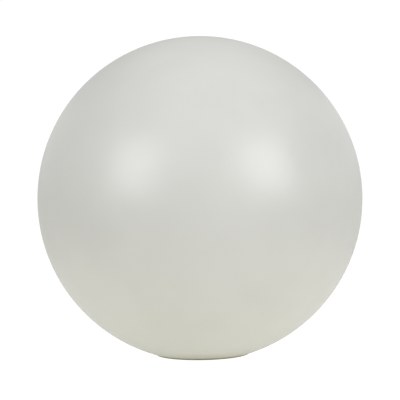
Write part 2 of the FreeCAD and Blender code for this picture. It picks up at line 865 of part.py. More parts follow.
def battery_clamp():
    """Saddle plate under the cells, screwed to four posts."""
    half_length = clamp_length_share * pack_half_length
    half_width = pack_half_width + clamp_side_wall
    clamp = block(-half_width, half_width, -half_length, half_length, clamp_low, clamp_low + clamp_wrap)
    for x in (cell_offset, -cell_offset):
        seat = Part.makeCylinder(cell_radius + cell_fit, 2 * cell_length,
                                 Vector(x, -cell_length, cell_axis), Vector(0, 1, 0))
        clamp = clamp.cut(seat)
        window = clamp_window_share * pack_half_length
        width = clamp_window_share * cell_radius
        for y in (window, -window):
            clamp = clamp.cut(block(x - width, x + width, y - width, y + width,
                                    clamp_low - overrun, clamp_high + overrun))
    for x, y in clamp_post_places():
        side = math.copysign(1, x)
        ear = disc(post_radius, clamp_low, clamp_high, x, y)
        inner = side * (half_width - clamp_side_wall)
        arm = block(min(inner, x), max(inner, x), y - post_radius, y + post_radius, clamp_low, clamp_high)
        clamp = clamp.multiFuse([ear, arm])
        clamp = clamp.cut(disc(small_shank_radius + hole_gap, clamp_low - overrun,
                               clamp_high + overrun, x, y))
        above = disc(post_radius + clamp_ear_margin, clamp_high, clamp_low + clamp_wrap + overrun, x, y)
        clamp = clamp.cut(above)
    return clamp


def clamp_screws():
    return Part.makeCompound([small_screw(x, y, clamp_low, True) for x, y in clamp_post_places()])


def battery_lead(x):
    """Lead from a cell's back tab down to its pad on the board."""
    pad_y = -(pack_half_length - lead_pad_inset)
    tab_y = -(pack_half_length + strap_thickness)
    out_y = tab_y - lead_end_clear
    low = board_top + lead_rise
    points = [Vector(x, pad_y, board_top), Vector(x, pad_y, low), Vector(x, out_y, low),
              Vector(x, out_y, cell_axis), Vector(x, tab_y, cell_axis)]
    return tube(points, lead_radius, lead_bend_share)


# The control board

def control_board():
    """Round board on four posts, above the recess."""
    board = disc(board_radius, board_low, board_top)
    for x, y in board_post_places():
        board = board.cut(disc(small_shank_radius + hole_gap, board_low - overrun,
                               board_top + overrun, x, y))
    return board


def board_screws():
    return Part.makeCompound([small_screw(x, y, board_low, True) for x, y in board_post_places()])


def power_coil():
    """Wound choke on its ferrite core, under the board."""
    x, y = (share * board_radius for share in coil_place_shares)
    low = board_low - coil_height
    core = disc(coil_core_radius, low, board_low, x, y)
    flanges = [disc(coil_radius, low, low + coil_flange_thickness, x, y),
               disc(coil_radius, board_low - coil_flange_thickness, board_low, x, y)]
    winding = disc(coil_radius - coil_flange_reach, low + coil_flange_thickness,
                   board_low - coil_flange_thickness, x, y)
    return core.multiFuse(flanges + [winding])


def capacitors():
    """Two cans, one each side of the switch."""
    cans = []
    for x_share, y_share in can_place_shares:
        x, y = x_share * board_radius, y_share * board_radius
        can = disc(can_radius, board_low - can_height, board_low, x, y)
        cans.append(can.makeFillet(can_round, circle_edges(can, can_radius, board_low - can_height)))
    return Part.makeCompound(cans)


def board_chips():
    """Driver, charger and logic chips under the board."""
    chips = []
    for x_share, y_share in chip_place_shares:
        x, y = x_share * board_radius, y_share * board_radius
        chips.append(block(x - chip_length / 2, x + chip_length / 2, y - chip_width / 2,
                           y + chip_width / 2, board_low - chip_height, board_low))
    return Part.makeCompound(chips)


def status_led():
    half = status_led_width / 2
    return block(pipe_x - half, pipe_x + half, -half, half, board_low - status_led_height, board_low)


def light_pipe():
    """Clear rod that shows the charging light in the recess."""
    radius = pipe_diameter / 2
    rod = disc(radius, recess_top + pipe_inset, board_low - status_led_height, pipe_x)
    flange = disc(radius + pipe_flange_reach, ceiling_top, ceiling_top + pipe_flange_thickness, pipe_x)
    return rod.fuse(flange)


def lead_connector():
    """Socket on top of the board for the light board's lead."""
    half_depth = connector_depth / 2
    half_width = connector_width / 2
    return block(post_x - half_depth, post_x + half_depth, -half_width, half_width,
                 board_top, board_top + connector_height)


def lead_grommet():
    """Rubber bush where the lead passes the deck."""
    low = deck_low - grommet_lip_thickness
    sleeve = disc(lead_hole_radius, deck_low, deck_top, post_x)
    lip = disc(lead_hole_radius + grommet_lip, low, deck_low, post_x)
    return sleeve.fuse(lip).cut(disc(lead_radius, low - overrun, deck_top + overrun, post_x))


def light_lead():
    """Lead from the board's connector, through the deck, to its pad on the light board."""
    peak = light_board_top + lead_loop_height
    points = [Vector(post_x, 0, board_top + connector_height), Vector(post_x, 0, peak),
              Vector(post_x - lead_landing, 0, peak), Vector(post_x - lead_landing, 0, light_board_top)]
    return tube(points, lead_radius, lead_bend_share)


# The light board

def light_screw_places():
    radius = light_screw_share * light_board_radius
    step = 2 * math.pi / light_screw_count
    angles = [(turn + 0.5) * step for turn in range(light_screw_count)]
    return [(radius * math.cos(angle), radius * math.sin(angle)) for angle in angles]


def drilled(shape, low, high):
    """The same disc with the lead's hole and the light board's screw holes through it."""
    shape = shape.cut(disc(lead_hole_radius, low - overrun, high + overrun, post_x))
    for x, y in light_screw_places():
        shape = shape.cut(disc(small_shank_radius + hole_gap, low - overrun, high + overrun, x, y))
    return shape


def heat_spreader():
    """Aluminium dish on the deck, with a standing rim."""
    dish = disc(spreader_radius, deck_top, spreader_top + spreader_rim_height)
    dish = dish.cut(disc(spreader_radius - spreader_rim_width, spreader_top,
                         spreader_top + spreader_rim_height + overrun))
    return drilled(dish, deck_top, spreader_top)


def thermal_pad():
    radius = light_board_radius - thermal_pad_inset
    return drilled(disc(radius, spreader_top, light_board_low), spreader_top, light_board_low)


def light_board():
    board = disc(light_board_radius, light_board_low, light_board_top)
    return drilled(board, light_board_low, light_board_top)


def light_chips():
    """Light-emitting chips in rings, each with a shallow phosphor pool."""
    chips = []
    half = led_width / 2
    high = light_board_top + led_height
    for count, share in zip(led_ring_counts, led_ring_shares):
        for turn in range(count):
            chip = block(-half, half, -half, half, light_board_top, high)
            chip = chip.cut(disc(led_lens_radius, high - led_lens_depth, high + overrun))
            chip.translate(Vector(share * light_board_radius, 0, 0))
            chip.rotate(ORIGIN, UP, (turn + 0.5) * 360 / count)
            chips.append(chip)
    return Part.makeCompound(chips)


def light_screws():
    return Part.makeCompound([small_screw(x, y, light_board_top, False)
                              for x, y in light_screw_places()])


# The dome

def light_dome():
    """Clear dome with a screwed flange."""
    rim = housing_radius - dome_flange_inset
    top = deck_top + dome_rise
    bend_low = deck_top + dome_skirt_height
    wire = Part.Wire([
        line((dome_inner_radius, deck_top), (rim, deck_top)),
        line((rim, deck_top), (rim, dome_flange_top)),
        line((rim, dome_flange_top), (dome_outer_radius, dome_flange_top)),
        line((dome_outer_radius, dome_flange_top), (dome_outer_radius, bend_low)),
        cap_arc(dome_outer_radius, bend_low, top),
        line((0, top), (0, top - dome_wall)),
        cap_arc(dome_inner_radius, bend_low, top - dome_wall),
        line((dome_inner_radius, bend_low), (dome_inner_radius, deck_top)),
    ])
    dome = Part.Face(wire).revolve(ORIGIN, UP, 360)
    for x, y in boss_places:
        dome = dome.cut(disc(body_shank_radius + hole_gap, deck_top - overrun,
                             dome_flange_top + overrun, x, y))
    return dome


def dome_gasket():
    return ring(dome_gasket_outer, dome_gasket_inner, deck_top - dome_gasket_depth, deck_top)


def dome_screws():
    return Part.makeCompound([body_screw(x, y, dome_flange_top, False) for x, y in boss_places])


PARTS = {
    "globe_shell": globe_shell,
    "base_plate": base_plate,
    "foot_ring": foot_ring,
    "globe_gasket": globe_gasket,
    "rim_gasket": rim_gasket,
    "base_screws": base_screws,
    "power_button": power_button,
    "button_clip": button_clip,
    "button_spring": button_spring,
    "button_o_ring": button_o_ring,
    "power_switch": power_switch,
    "switch_plunger": switch_plunger,
    "charge_socket": charge_socket,
    "socket_pin": socket_pin,
    "socket_seal": socket_seal,
    "port_door": port_door,
    "port_plug": port_plug,
    "port_hinge_pin": port_hinge_pin,
    "module_housing": module_housing,
    "battery_cell_left": lambda: battery_cell(-cell_offset, True),
    "battery_cell_right": lambda: battery_cell(cell_offset, False),
    "cell_straps": cell_straps,
    "battery_clamp": battery_clamp,
    "clamp_screws": clamp_screws,
    "battery_lead_left": lambda: battery_lead(-cell_offset),
    "battery_lead_right": lambda: battery_lead(cell_offset),
    "control_board": control_board,
    "board_screws": board_screws,
    "power_coil": power_coil,
    "capacitors": capacitors,
    "board_chips": board_chips,
    "status_led": status_led,
    "light_pipe": light_pipe,
    "lead_connector": lead_connector,
    "lead_grommet": lead_grommet,
    "light_lead": light_lead,
    "heat_spreader": heat_spreader,
    "thermal_pad": thermal_pad,
    "light_board": light_board,
    "light_chips": light_chips,
    "light_screws": light_screws,
    "light_dome": light_dome,
    "dome_gasket": dome_gasket,
    "dome_screws": dome_screws,
}

os.makedirs("parts", exist_ok=True)
for name, make in PARTS.items():
    make().exportStep(os.path.join("parts", name + ".step"))
print("housing radius", round(housing_radius, 3), "flat radius", round(flat_radius, 3),
      "globe centre", round(globe_centre, 3), "deck top", round(deck_top, 3),
      "hinge", round(hinge_x, 3), round(hinge_z, 3), "unlock angle", unlock_angle)
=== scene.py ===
# Looks of a cordless garden globe lamp, laid out as an add-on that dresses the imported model.
# Metres, +Z up. The origin is on the floor, on the globe's axis.
import json
import math

import bmesh
import bpy
from bpy.props import FloatProperty, FloatVectorProperty, IntProperty
from mathutils import Matrix, Vector


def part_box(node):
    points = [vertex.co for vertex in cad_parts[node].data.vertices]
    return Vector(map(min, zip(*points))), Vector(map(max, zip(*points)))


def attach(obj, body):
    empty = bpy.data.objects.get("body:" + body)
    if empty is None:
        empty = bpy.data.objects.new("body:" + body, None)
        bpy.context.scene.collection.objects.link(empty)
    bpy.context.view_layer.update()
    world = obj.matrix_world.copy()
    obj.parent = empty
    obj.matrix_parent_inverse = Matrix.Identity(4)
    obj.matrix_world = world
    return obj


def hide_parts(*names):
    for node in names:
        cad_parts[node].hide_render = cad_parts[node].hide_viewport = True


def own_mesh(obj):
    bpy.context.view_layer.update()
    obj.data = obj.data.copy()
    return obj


bl_info = {
    "name": "Garden globe lamp",
    "version": (1, 0, 0),
    "blender": (4, 5, 0),
    "location": "3D View > Sidebar > Globe Lamp",
    "description": "Models and finishes the pieces of a cordless garden globe lamp",
    "category": "Object",
}

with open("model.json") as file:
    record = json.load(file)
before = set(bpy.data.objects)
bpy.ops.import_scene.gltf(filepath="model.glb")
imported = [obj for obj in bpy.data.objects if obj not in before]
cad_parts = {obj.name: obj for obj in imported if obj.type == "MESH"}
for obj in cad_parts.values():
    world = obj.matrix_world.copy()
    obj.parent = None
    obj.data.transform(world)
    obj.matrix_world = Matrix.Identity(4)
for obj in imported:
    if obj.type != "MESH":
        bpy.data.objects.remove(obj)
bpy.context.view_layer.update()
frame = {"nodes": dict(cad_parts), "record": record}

MM = 0.001
TURN = 2 * math.pi
WHITE = (1, 1, 1)
METAL = {"Metallic": 1.0}
MERGE = 0.001 * MM
ON_LEVEL = 0.1 * MM
ON_RIM = 0.01 * MM
SMOOTH_ANGLE = math.radians(32)

# The globe's floor in degrees, each angle from the middle of a lug on the locked base
LUG_SECTOR = 120
NOTCH_MIDDLE = 60
NOTCH_HALF = 16.8
STOP_START, STOP_END = 15.5, 42.5

# Steps of the turned and bent lines
EDGE_STEPS, OUTER_STEPS, INNER_STEPS = 6, 84, 56
FOOT_STEPS, RING_STEPS, CROWN_STEPS = 180, 72, 6

# Shares of the foot ring's height and width
FOOT_EASE, GROOVE_HALF = 0.25, 0.055
GROOVES = 3

# The cross recess, in shares of the screw head's height and radius, and the screw's blunt tip
CROSS_DEPTH, CROSS_LIP = 0.7, 0.1
CROSS_WIDE, CROSS_NARROW, CROSS_SLIM = 0.72, 0.30, 0.3
TIP_SHARE = 0.45

# The ring on the button: its radius in the button's width, its half width and crest in its height
RING_PLACE, RING_HALF, RING_CREST = 0.27, 1.4, 0.5

# A chip's leg in shares of the legs' pitch
LEG_WIDTH, LEG_THICKNESS, LEG_DROP, LEG_REACH = 0.32, 0.12, 0.38, 0.8

FLOOR_SIZE, FLOOR_CUTS = 40, 8
FRAME_PIXELS, SENSOR_WIDTH, CLIP_END = 400, 36, 100


# What a user would change

def setting(kind, convert=lambda value: value, **options):
    """Gives a maker of one kind of property, which takes a name, a description and a default."""
    def make(name, description, default):
        return kind(name=name, description=description, default=convert(default), **options)
    return make


a_length = setting(FloatProperty, unit="LENGTH")
an_angle = setting(FloatProperty, math.radians, subtype="ANGLE")
a_share = setting(FloatProperty, subtype="FACTOR", min=0, max=1)
a_number = setting(FloatProperty)
a_count = setting(IntProperty, min=16)
a_colour = setting(FloatVectorProperty, subtype="COLOR", min=0, max=1)
a_light = setting(FloatVectorProperty)


class GlobeLampSizes(bpy.types.PropertyGroup):
    """Sizes of the modelled pieces"""
    globe_wall: a_length("Globe wall", "Thickness of the moulded globe", 3 * MM)
    globe_edge_round: a_length("Globe edge round", "Radius between the ball and its flat", 4 * MM)
    opening_gap: a_length("Opening gap", "Gap between the housing and the globe's opening", 1 * MM)
    notch_gap: a_length("Notch gap", "Gap between a lug's end and its notch", 0.5 * MM)
    stop_height: a_length("Stop height", "Height of the blocks that stop the twist", 3.6 * MM)
    globe_steps: a_count("Globe steps", "Facets round the globe", 240)
    tread_depth: a_length("Tread depth", "Depth of the grooves under the rubber foot", 0.5 * MM)
    button_ring_height: a_length(
        "Button ring height", "How far the ring that fingers feel stands off the button", 0.25 * MM)
    thread_pitch: a_length("Thread pitch", "From one turn of a screw's thread to the next", 0.7 * MM)
    thread_depth: a_length("Thread depth", "How deep the threads are cut", 0.2 * MM)
    screw_steps: a_count("Screw steps", "Facets round each screw", 40)
    leg_pitch: a_length("Leg pitch", "From one leg of a chip to the next", 1.27 * MM)


class GlobeLampColours(bpy.types.PropertyGroup):
    """Colours of the finishes, in linear values"""
    globe: a_colour("Globe", "Off-white moulded polyethylene", (0.578, 0.58, 0.532))
    # Painted shade: a darker, warmer colour for the globe's foot, standing in for the shade and warm
    # bounce next to the base.
    globe_foot_painted_shade: a_colour(
        "Globe's foot", "The globe's own plastic, warmer where it meets the base", (0.556, 0.544, 0.43))
    base: a_colour("Base plate", "Warm grey moulded plastic", (0.385, 0.36, 0.275))
    housing: a_colour("Housing", "White moulded plastic of the light module", (0.74, 0.74, 0.71))
    button: a_colour("Button", "Dark grey satin plastic", (0.032, 0.034, 0.037))
    door: a_colour("Port door", "Dark grey satin plastic", (0.045, 0.047, 0.05))
    foot: a_colour("Foot", "Black rubber", (0.012, 0.012, 0.012))
    seal: a_colour("Seals", "Grey silicone rubber", (0.085, 0.09, 0.095))
    board: a_colour("Control board", "Green solder mask", (0.008, 0.075, 0.024))
    wrap: a_colour("Cell wrap", "Blue shrink film round the cells", (0.012, 0.06, 0.19))


class GlobeLampStage(bpy.types.PropertyGroup):
    """Camera, floor and lamps"""
    camera_distance: a_length("Camera distance", "From the camera to the globe's centre", 4.0)
    camera_rise: an_angle("Camera rise", "How far above level the camera stands", 5.5)
    camera_roll: an_angle("Camera roll", "Lean of the camera", 1.1)
    globe_pixels: a_number("Globe in pixels", "Radius of the globe in the photograph's frame", 162.6)
    centre_x_pixel: a_number("Centre X pixel", "Where the globe's centre lies in the frame", 199.93)
    centre_y_pixel: a_number("Centre Y pixel", "Where the globe's centre lies in the frame", 198.54)
    room_light: a_light("Room light", "Colour of the light from all round", (0.045, 0.045, 0.10))
    room_right: a_light(
        "Room right", "Light added towards the right and taken off the left", (0.075, 0.085, 0.095))
    room_back: a_light(
        "Room back", "Light added towards the back and taken off the front", (-0.06, -0.065, -0.12))
    room_sides: a_light("Room sides", "Light added towards both sides", (0.0, 0.0, -0.02))
    room_ends: a_light(
        "Room ends", "Light added towards the top and the bottom alike", (1.24, 1.25, 1.215))
    lamp_distance: a_length("Lamp distance", "From each softbox to the globe's centre", 2.4)
    lamp_size: a_length("Lamp size", "Side of each softbox", 1.4)
    left_lamp: a_number("Left lamp", "Radiance of the left softbox", 3.95)
    right_lamp: a_number("Right lamp", "Radiance of the right softbox", 4.45)
    left_turn: an_angle("Left turn", "Bearing of the left softbox from the front", -48)
    left_rise: an_angle("Left rise", "Height of the left softbox as an angle", 23.5)
    right_turn: an_angle("Right turn", "Bearing of the right softbox from the front", 49)
    right_rise: an_angle("Right rise", "Height of the right softbox as an angle", 22.5)
    floor_colour: a_colour("Floor", "Pale floor, faintly warm", (0.90, 0.89, 0.80))
    floor_edge_colour: a_colour(
        "Floor edge", "The floor away from the lamp, which sends less light back", (0.30, 0.30, 0.28))
    floor_near: a_length("Floor near", "Where the pale floor begins to fall off", 0.33)
    floor_far: a_length("Floor far", "Where the floor has its edge colour", 0.76)
    shadow_share: a_share("Shadow share", "How much of the floor's own shade the camera sees", 0.18)
    floor_glow: a_number("Floor glow", "Light that comes up through the floor under the globe", 0.262)
    glow_away: a_share("Glow away", "Share of the glow that is left away from the globe", 0.49)
    glow_near: a_length("Glow near", "Where the glow begins to fall off", 0.05)
    glow_far: a_length("Glow far", "Where the glow has its lower share", 0.3)
    mirror_near: a_length("Mirror near", "How far out reflections show the shade under the globe", 0.04)
    mirror_far: a_length("Mirror far", "Where reflections show the most of the white floor", 0.07)
    mirror_share: a_share(
        "Mirror share", "How much of the white reflections show on the open floor", 0.6)
    floor_white: a_number("Floor white", "Strength of the white that the camera sees on the floor", 1.2)


# Shader building

class Link:
    """A shader output that takes part in sums, so that a + b adds a Math node."""

    def __init__(self, nodes, socket):
        self.nodes = nodes
        self.socket = socket

    def maths(self, operation, *values):
        return self.nodes.add("ShaderNodeMath", {"operation": operation}, dict(enumerate(values)))

    def __add__(self, other):
        return self.maths("ADD", self, other)

    def __radd__(self, other):
        return self.maths("ADD", other, self)

    def __sub__(self, other):
        return self.maths("SUBTRACT", self, other)

    def __rsub__(self, other):
        return self.maths("SUBTRACT", other, self)

    def __mul__(self, other):
        return self.maths("MULTIPLY", self, other)

    def __rmul__(self, other):
        return self.maths("MULTIPLY", other, self)

    def __gt__(self, other):
        return self.maths("GREATER_THAN", self, other)

    def __lt__(self, other):
        return self.maths("LESS_THAN", self, other)

    def root(self):
        return self.maths("SQRT", self)

    def capped(self):
        return self.maths("MINIMUM", self, 1.0)

    def waves(self, length):
        """Sine of a distance, with one wave to each length."""
        return self.maths("SINE", self * (TURN / length))

    def ramp(self, low, high):
        """0 below low, 1 above high, smooth between."""
        return self.nodes.add("ShaderNodeMapRange", {"interpolation_type": "SMOOTHSTEP"},
                              {0: self, 1: low, 2: high, 3: 0.0, 4: 1.0})


class Nodes:
    """A shader's node tree, built node by node."""

    def __init__(self, tree):
        self.tree = tree

    def join(self, value, socket):
        """Links or sets one input. Three numbers stand for a colour with full alpha."""
        if isinstance(value, Link):
            self.tree.links.new(value.socket, socket)
        elif socket.type == "RGBA":
            socket.default_value = (*tuple(value)[:3], 1.0)
        else:
            socket.default_value = value

    def add(self, kind, settings=None, inputs=None, output=0):
        """Adds a node, sets it up, joins its inputs and gives back one of its outputs."""
        node = self.tree.nodes.new(kind)
        for name, value in (settings or {}).items():
            setattr(node, name, value)
        for name, value in (inputs or {}).items():
            self.join(value, node.inputs[name])
        return Link(self, node.outputs[output])

    def place(self):
        return self.add("ShaderNodeTexCoord", output="Object")

    def xyz(self):
        """Object coordinates, one by one."""
        node = self.add("ShaderNodeSeparateXYZ", None, {0: self.place()}).socket.node
        return [Link(self, output) for output in node.outputs]

    def noise(self, size, detail=2.0, roughness=0.5, along=None):
        """Noise whose cells are about size across, with each axis scaled where that is given."""
        vector = self.place()
        if along:
            vector = self.add("ShaderNodeMapping", None, {"Vector": vector, "Scale": along})
        return self.add("ShaderNodeTexNoise", None,
                        {"Vector": vector, "Scale": 1 / size, "Detail": detail, "Roughness": roughness})

    def mix(self, share, first, second):
        """Colour between two."""
        return self.add("ShaderNodeMix", {"data_type": "RGBA"}, {0: share, 6: first, 7: second}, 2)


class Finish(Nodes):
    """A material round one Principled shader, with inputs that stay the same given at the start."""

    def __init__(self, name, constants=None):
        self.material = bpy.data.materials.new(name)
        self.material.use_nodes = True
        super().__init__(self.material.node_tree)
        self.shader = self.tree.nodes["Principled BSDF"]
        self.normal = None
        self.give(constants or {})

    def give(self, values):
        """Links or sets inputs of the shader, by their names."""
        for name, value in values.items():
            self.join(value, self.shader.inputs[name])

    def bump(self, height, depth, strength=1.0):
        """Adds relief of a real depth, on top of any relief given before."""
        inputs = {"Height": height, "Distance": depth, "Strength": strength}
        if self.normal:
            inputs["Normal"] = self.normal
        self.normal = self.add("ShaderNodeBump", None, inputs)
        self.give({"Normal": self.normal})


def shade(colour, factor):
    """The colour made lighter or darker."""
    return tuple(min(1.0, part * factor) for part in colour)


def grained(name, constants, noise, colours, roughness, relief=None, fine=None, patches=None):
    """A finish whose grain runs through its colour, in patches where given, its roughness and its
    relief, which may have a finer grain of its own."""
    finish = Finish(name, constants)
    grain = finish.noise(*noise)
    share = grain.ramp(*patches) if patches else grain
    least, spread = roughness
    finish.give({"Base Color": finish.mix(share, *colours), "Roughness": least + grain * spread})
    if relief:
        finish.bump(finish.noise(*fine) if fine else grain, *relief)
    return finish.material


# Finishes

def globe_finish(colours):
    """Satin rotomoulded polyethylene: fine peel, faint clouds, painted warm shade at the foot, a top
    dulled by weather.
    """
    finish = Finish("moulded_globe", {"IOR": 1.6})
    cloud = finish.noise(70 * MM, 3.0)
    speck = finish.noise(1.6 * MM, 2.0)
    paler = finish.mix(cloud.ramp(0.35, 0.65), shade(colours.globe, 0.985), shade(colours.globe, 1.012))
    clouded = finish.mix(speck.ramp(0.55, 0.75) * 0.25, paler, shade(colours.globe, 0.975))
    low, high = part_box("globe_shell")
    height = finish.xyz()[2]
    # Painted shade: the globe's last few millimetres above the base take the darker, warmer foot colour.
    above_painted_foot_shade = height.ramp(low.z + 2 * MM, low.z + 12 * MM)
    weathered = height.ramp(high.z - 100 * MM, high.z - 30 * MM)
    finish.give({"Base Color": finish.mix(above_painted_foot_shade, colours.globe_foot_painted_shade, clouded),
                 "Roughness": 0.34 + cloud * 0.04 + speck * 0.03 + weathered * 0.38})
    finish.bump(finish.noise(2.4 * MM, 1.5), 0.012 * MM, 0.6)
    finish.bump(finish.noise(0.5 * MM, 2.0), 0.004 * MM, 0.5)
    return finish.material


def textured_plastic(name, colour, roughness=0.5, grain=0.35 * MM, depth=0.02 * MM):
    """Injection-moulded plastic with a fine spark-eroded texture."""
    finish = Finish(name, {"IOR": 1.5})
    cloud = finish.noise(18 * MM, 3.0)
    darker, paler = shade(colour, 0.95), shade(colour, 1.04)
    finish.give({"Base Color": finish.mix(cloud.ramp(0.3, 0.7), darker, paler),
                 "Roughness": roughness - 0.04 + cloud * 0.08})
    cells = finish.add("ShaderNodeTexVoronoi", None, {"Vector": finish.place(), "Scale": 1 / grain})
    finish.bump(cells, depth, 0.5)
    return finish.material


def rubber(name, colour, roughness=0.72):
    """Matt moulded rubber with a trace of bloom."""
    return grained(name, {"IOR": 1.48}, (4 * MM, 4.0, 0.65), (colour, shade(colour, 1.4)),
                   (roughness, 0.12), (0.02 * MM, 0.5), (0.3 * MM, 3.0), (0.45, 0.8))


def zinc_plate():
    """Bright plated steel with small stains and fine tool marks."""
    return grained("zinc_plate", METAL, (1.8 * MM, 3.0, 0.6), ((0.62, 0.62, 0.60), (0.496, 0.496, 0.48)),
                   (0.3, 0.16), (0.006 * MM, 0.6), (0.15 * MM, 2.0), (0.4, 0.75))


def drawn_wire():
    """Spring steel with the bands that the cooling after winding leaves."""
    return grained("drawn_wire", METAL, (1.2 * MM, 2.0), ((0.42, 0.41, 0.40), (0.55, 0.53, 0.50)),
                   (0.28, 0.12), (0.004 * MM, 0.5), (0.12 * MM, 2.0))


def rolled_nickel():
    """Nickel strip with rolling lines along X."""
    return grained("rolled_nickel", METAL, (0.25 * MM, 2.0, 0.5, (0.05, 1.0, 1.0)),
                   ((0.58, 0.55, 0.50), (0.70, 0.67, 0.62)), (0.22, 0.18), (0.005 * MM, 0.6))


def turned_brass():
    """Turned contact with fine rings along its length."""
    finish = Finish("turned_brass", METAL)
    rings = finish.xyz()[2].waves(0.12 * MM)
    finish.give({"Base Color": finish.mix(finish.noise(1 * MM), (0.72, 0.50, 0.20), (0.80, 0.60, 0.28)),
                 "Roughness": 0.24 + rings * 0.04})
    finish.bump(rings * 0.5 + 0.5, 0.003 * MM, 0.6)
    return finish.material


def turned_aluminium():
    """Aluminium dish with the fine rings that a lathe leaves round its axis."""
    finish = Finish("turned_aluminium", METAL)
    x, y, _ = finish.xyz()
    rings = (x * x + y * y).root().waves(0.35 * MM)
    wear = finish.noise(6 * MM, 4.0, 0.6)
    finish.give({"Base Color": finish.mix(wear.ramp(0.35, 0.7), (0.80, 0.80, 0.81), (0.70, 0.70, 0.71)),
                 "Roughness": 0.30 + rings * 0.05 + wear * 0.1})
    finish.bump(rings * 0.5 + 0.5, 0.006 * MM, 0.7)
    return finish.material


def drawn_can():
    """Aluminium capacitor can with a dark band down the side of its negative lead."""
    finish = Finish("drawn_can")
    low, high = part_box("capacitors")
    band = finish.xyz()[0] < low.x + (high.x - low.x) * 0.12
    scuff = finish.noise(1.5 * MM, 3.0)
    metal = finish.mix(scuff, (0.66, 0.66, 0.68), (0.76, 0.76, 0.77))
    finish.give({"Base Color": finish.mix(band, metal, (0.03, 0.035, 0.05)),
                 "Metallic": 1 - band,
                 "Roughness": 0.26 + scuff * 0.14})
    finish.bump(scuff, 0.006 * MM, 0.4)
    return finish.material


def wound_coil():
    """Ferrite core with enamelled copper turns between its flanges."""
    finish = Finish("wound_coil")
    low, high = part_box("power_coil")
    flange = (high.z - low.z) * 0.16
    z = finish.xyz()[2]
    copper = (z > low.z + flange) * (z < high.z - flange)
    turns = z.waves(0.42 * MM) * 0.5 + 0.5
    grain = finish.noise(0.4 * MM, 3.0)
    ferrite = finish.mix(grain, (0.014, 0.013, 0.012), (0.03, 0.027, 0.025))
    wire = finish.mix(turns, (0.16, 0.045, 0.015), (0.50, 0.18, 0.06))
    finish.give({"Base Color": finish.mix(copper, ferrite, wire),
                 "Metallic": copper * 0.8,
                 "Roughness": 0.7 - copper * 0.35})
    finish.bump(copper * turns, 0.15 * MM, 0.9)
    finish.bump(grain, 0.02 * MM, 0.4)
    return finish.material


def laminate(name, mask_colour, line_colour, places, pad_radius):
    """Circuit board: solder mask over traces, with bare tinned rings round its screw holes."""
    finish = Finish(name, {"IOR": 1.5, "Coat Roughness": 0.15})
    x, y, _ = finish.xyz()
    weave = finish.add("ShaderNodeTexBrick", {"offset": 0.5},
                       {"Vector": finish.place(), "Scale": 1 / (14 * MM), "Mortar Size": 0.035,
                        "Brick Width": 0.6, "Row Height": 0.18, "Color1": (0, 0, 0),
                        "Color2": (0, 0, 0), "Mortar": WHITE})
    traces = weave * (finish.noise(9 * MM, 1.0) > 0.42)
    pads = 0.0
    for px, py in places:
        away = (x - px) * (x - px) + (y - py) * (y - py)
        pads = (away < pad_radius ** 2) + pads
    pads = pads.capped()
    glass = finish.noise(0.8 * MM, 3.0)
    mask = finish.mix(glass, shade(mask_colour, 0.88), shade(mask_colour, 1.1))
    lined = finish.mix(traces, mask, line_colour)
    finish.give({"Base Color": finish.mix(pads, lined, (0.62, 0.60, 0.56)),
                 "Metallic": pads,
                 "Roughness": 0.34 - pads * 0.06 + glass * 0.08,
                 "Coat Weight": 0.5 - pads * 0.5})
    finish.bump(traces + pads * 0.4, 0.03 * MM, 0.7)
    return finish.material


def chip_epoxy():
    """Black moulded epoxy with a fine grain."""
    return grained("chip_epoxy", {"IOR": 1.55}, (0.12 * MM, 3.0),
                   ((0.006, 0.006, 0.007), (0.016, 0.016, 0.018)), (0.5, 0.15), (0.01 * MM, 0.6))


def cell_film(side, wrap, forward):
    """Shrink film with bare steel ends, and a white washer at the positive end."""
    finish = Finish("cell_film_" + side, {"IOR": 1.5, "Coat Roughness": 0.12})
    low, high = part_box("battery_cell_" + side)
    x, y, z = finish.xyz()
    length = high.y - low.y
    along = y - low.y if forward else high.y - y
    across = x - (low.x + high.x) / 2
    rise = z - (low.z + high.z) / 2
    away = (across * across + rise * rise).root()
    radius = (high.x - low.x) / 2
    nub = 3.0 * MM
    film = (away > radius * 0.86) * (along < length - 0.8 * MM)
    washer = (along > length - 1.3 * MM) * (away > nub) * (away < radius * 0.87)
    wrinkle = finish.noise(2.2 * MM, 3.0, along=(1.0, 0.25, 1.0))
    blue = finish.mix(wrinkle, shade(wrap, 0.85), shade(wrap, 1.2))
    steel = finish.mix(wrinkle, (0.55, 0.54, 0.52), (0.68, 0.67, 0.65))
    paper = finish.mix(wrinkle, (0.72, 0.71, 0.67), (0.82, 0.81, 0.77))
    finish.give({"Base Color": finish.mix(film, finish.mix(washer, steel, paper), blue),
                 "Metallic": (1 - film) * (1 - washer),
                 "Roughness": 0.32 + washer * 0.4 + wrinkle * 0.06,
                 "Coat Weight": film * 0.35})
    finish.bump(wrinkle, 0.03 * MM, 0.35)
    return finish.material


def insulated(name, colour):
    """Silicone lead with a faint sheen."""
    return grained("lead_insulation_" + name, {"IOR": 1.45}, (2 * MM, 3.0),
                   (shade(colour, 0.85), shade(colour, 1.15)), (0.42, 0.12), (0.008 * MM, 0.5),
                   (0.3 * MM, 2.0))


def gap_pad():
    """Soft blue-grey pad with a woven carrier showing through."""
    finish = Finish("gap_pad", {"IOR": 1.45})
    x, y, _ = finish.xyz()
    thread = 0.7 * MM
    weave = x.waves(thread) * y.waves(thread) * 0.5 + 0.5
    finish.give({"Base Color": finish.mix(weave, (0.19, 0.25, 0.31), (0.24, 0.30, 0.36)),
                 "Roughness": 0.62 + weave * 0.1})
    finish.bump(weave, 0.02 * MM, 0.6)
    return finish.material


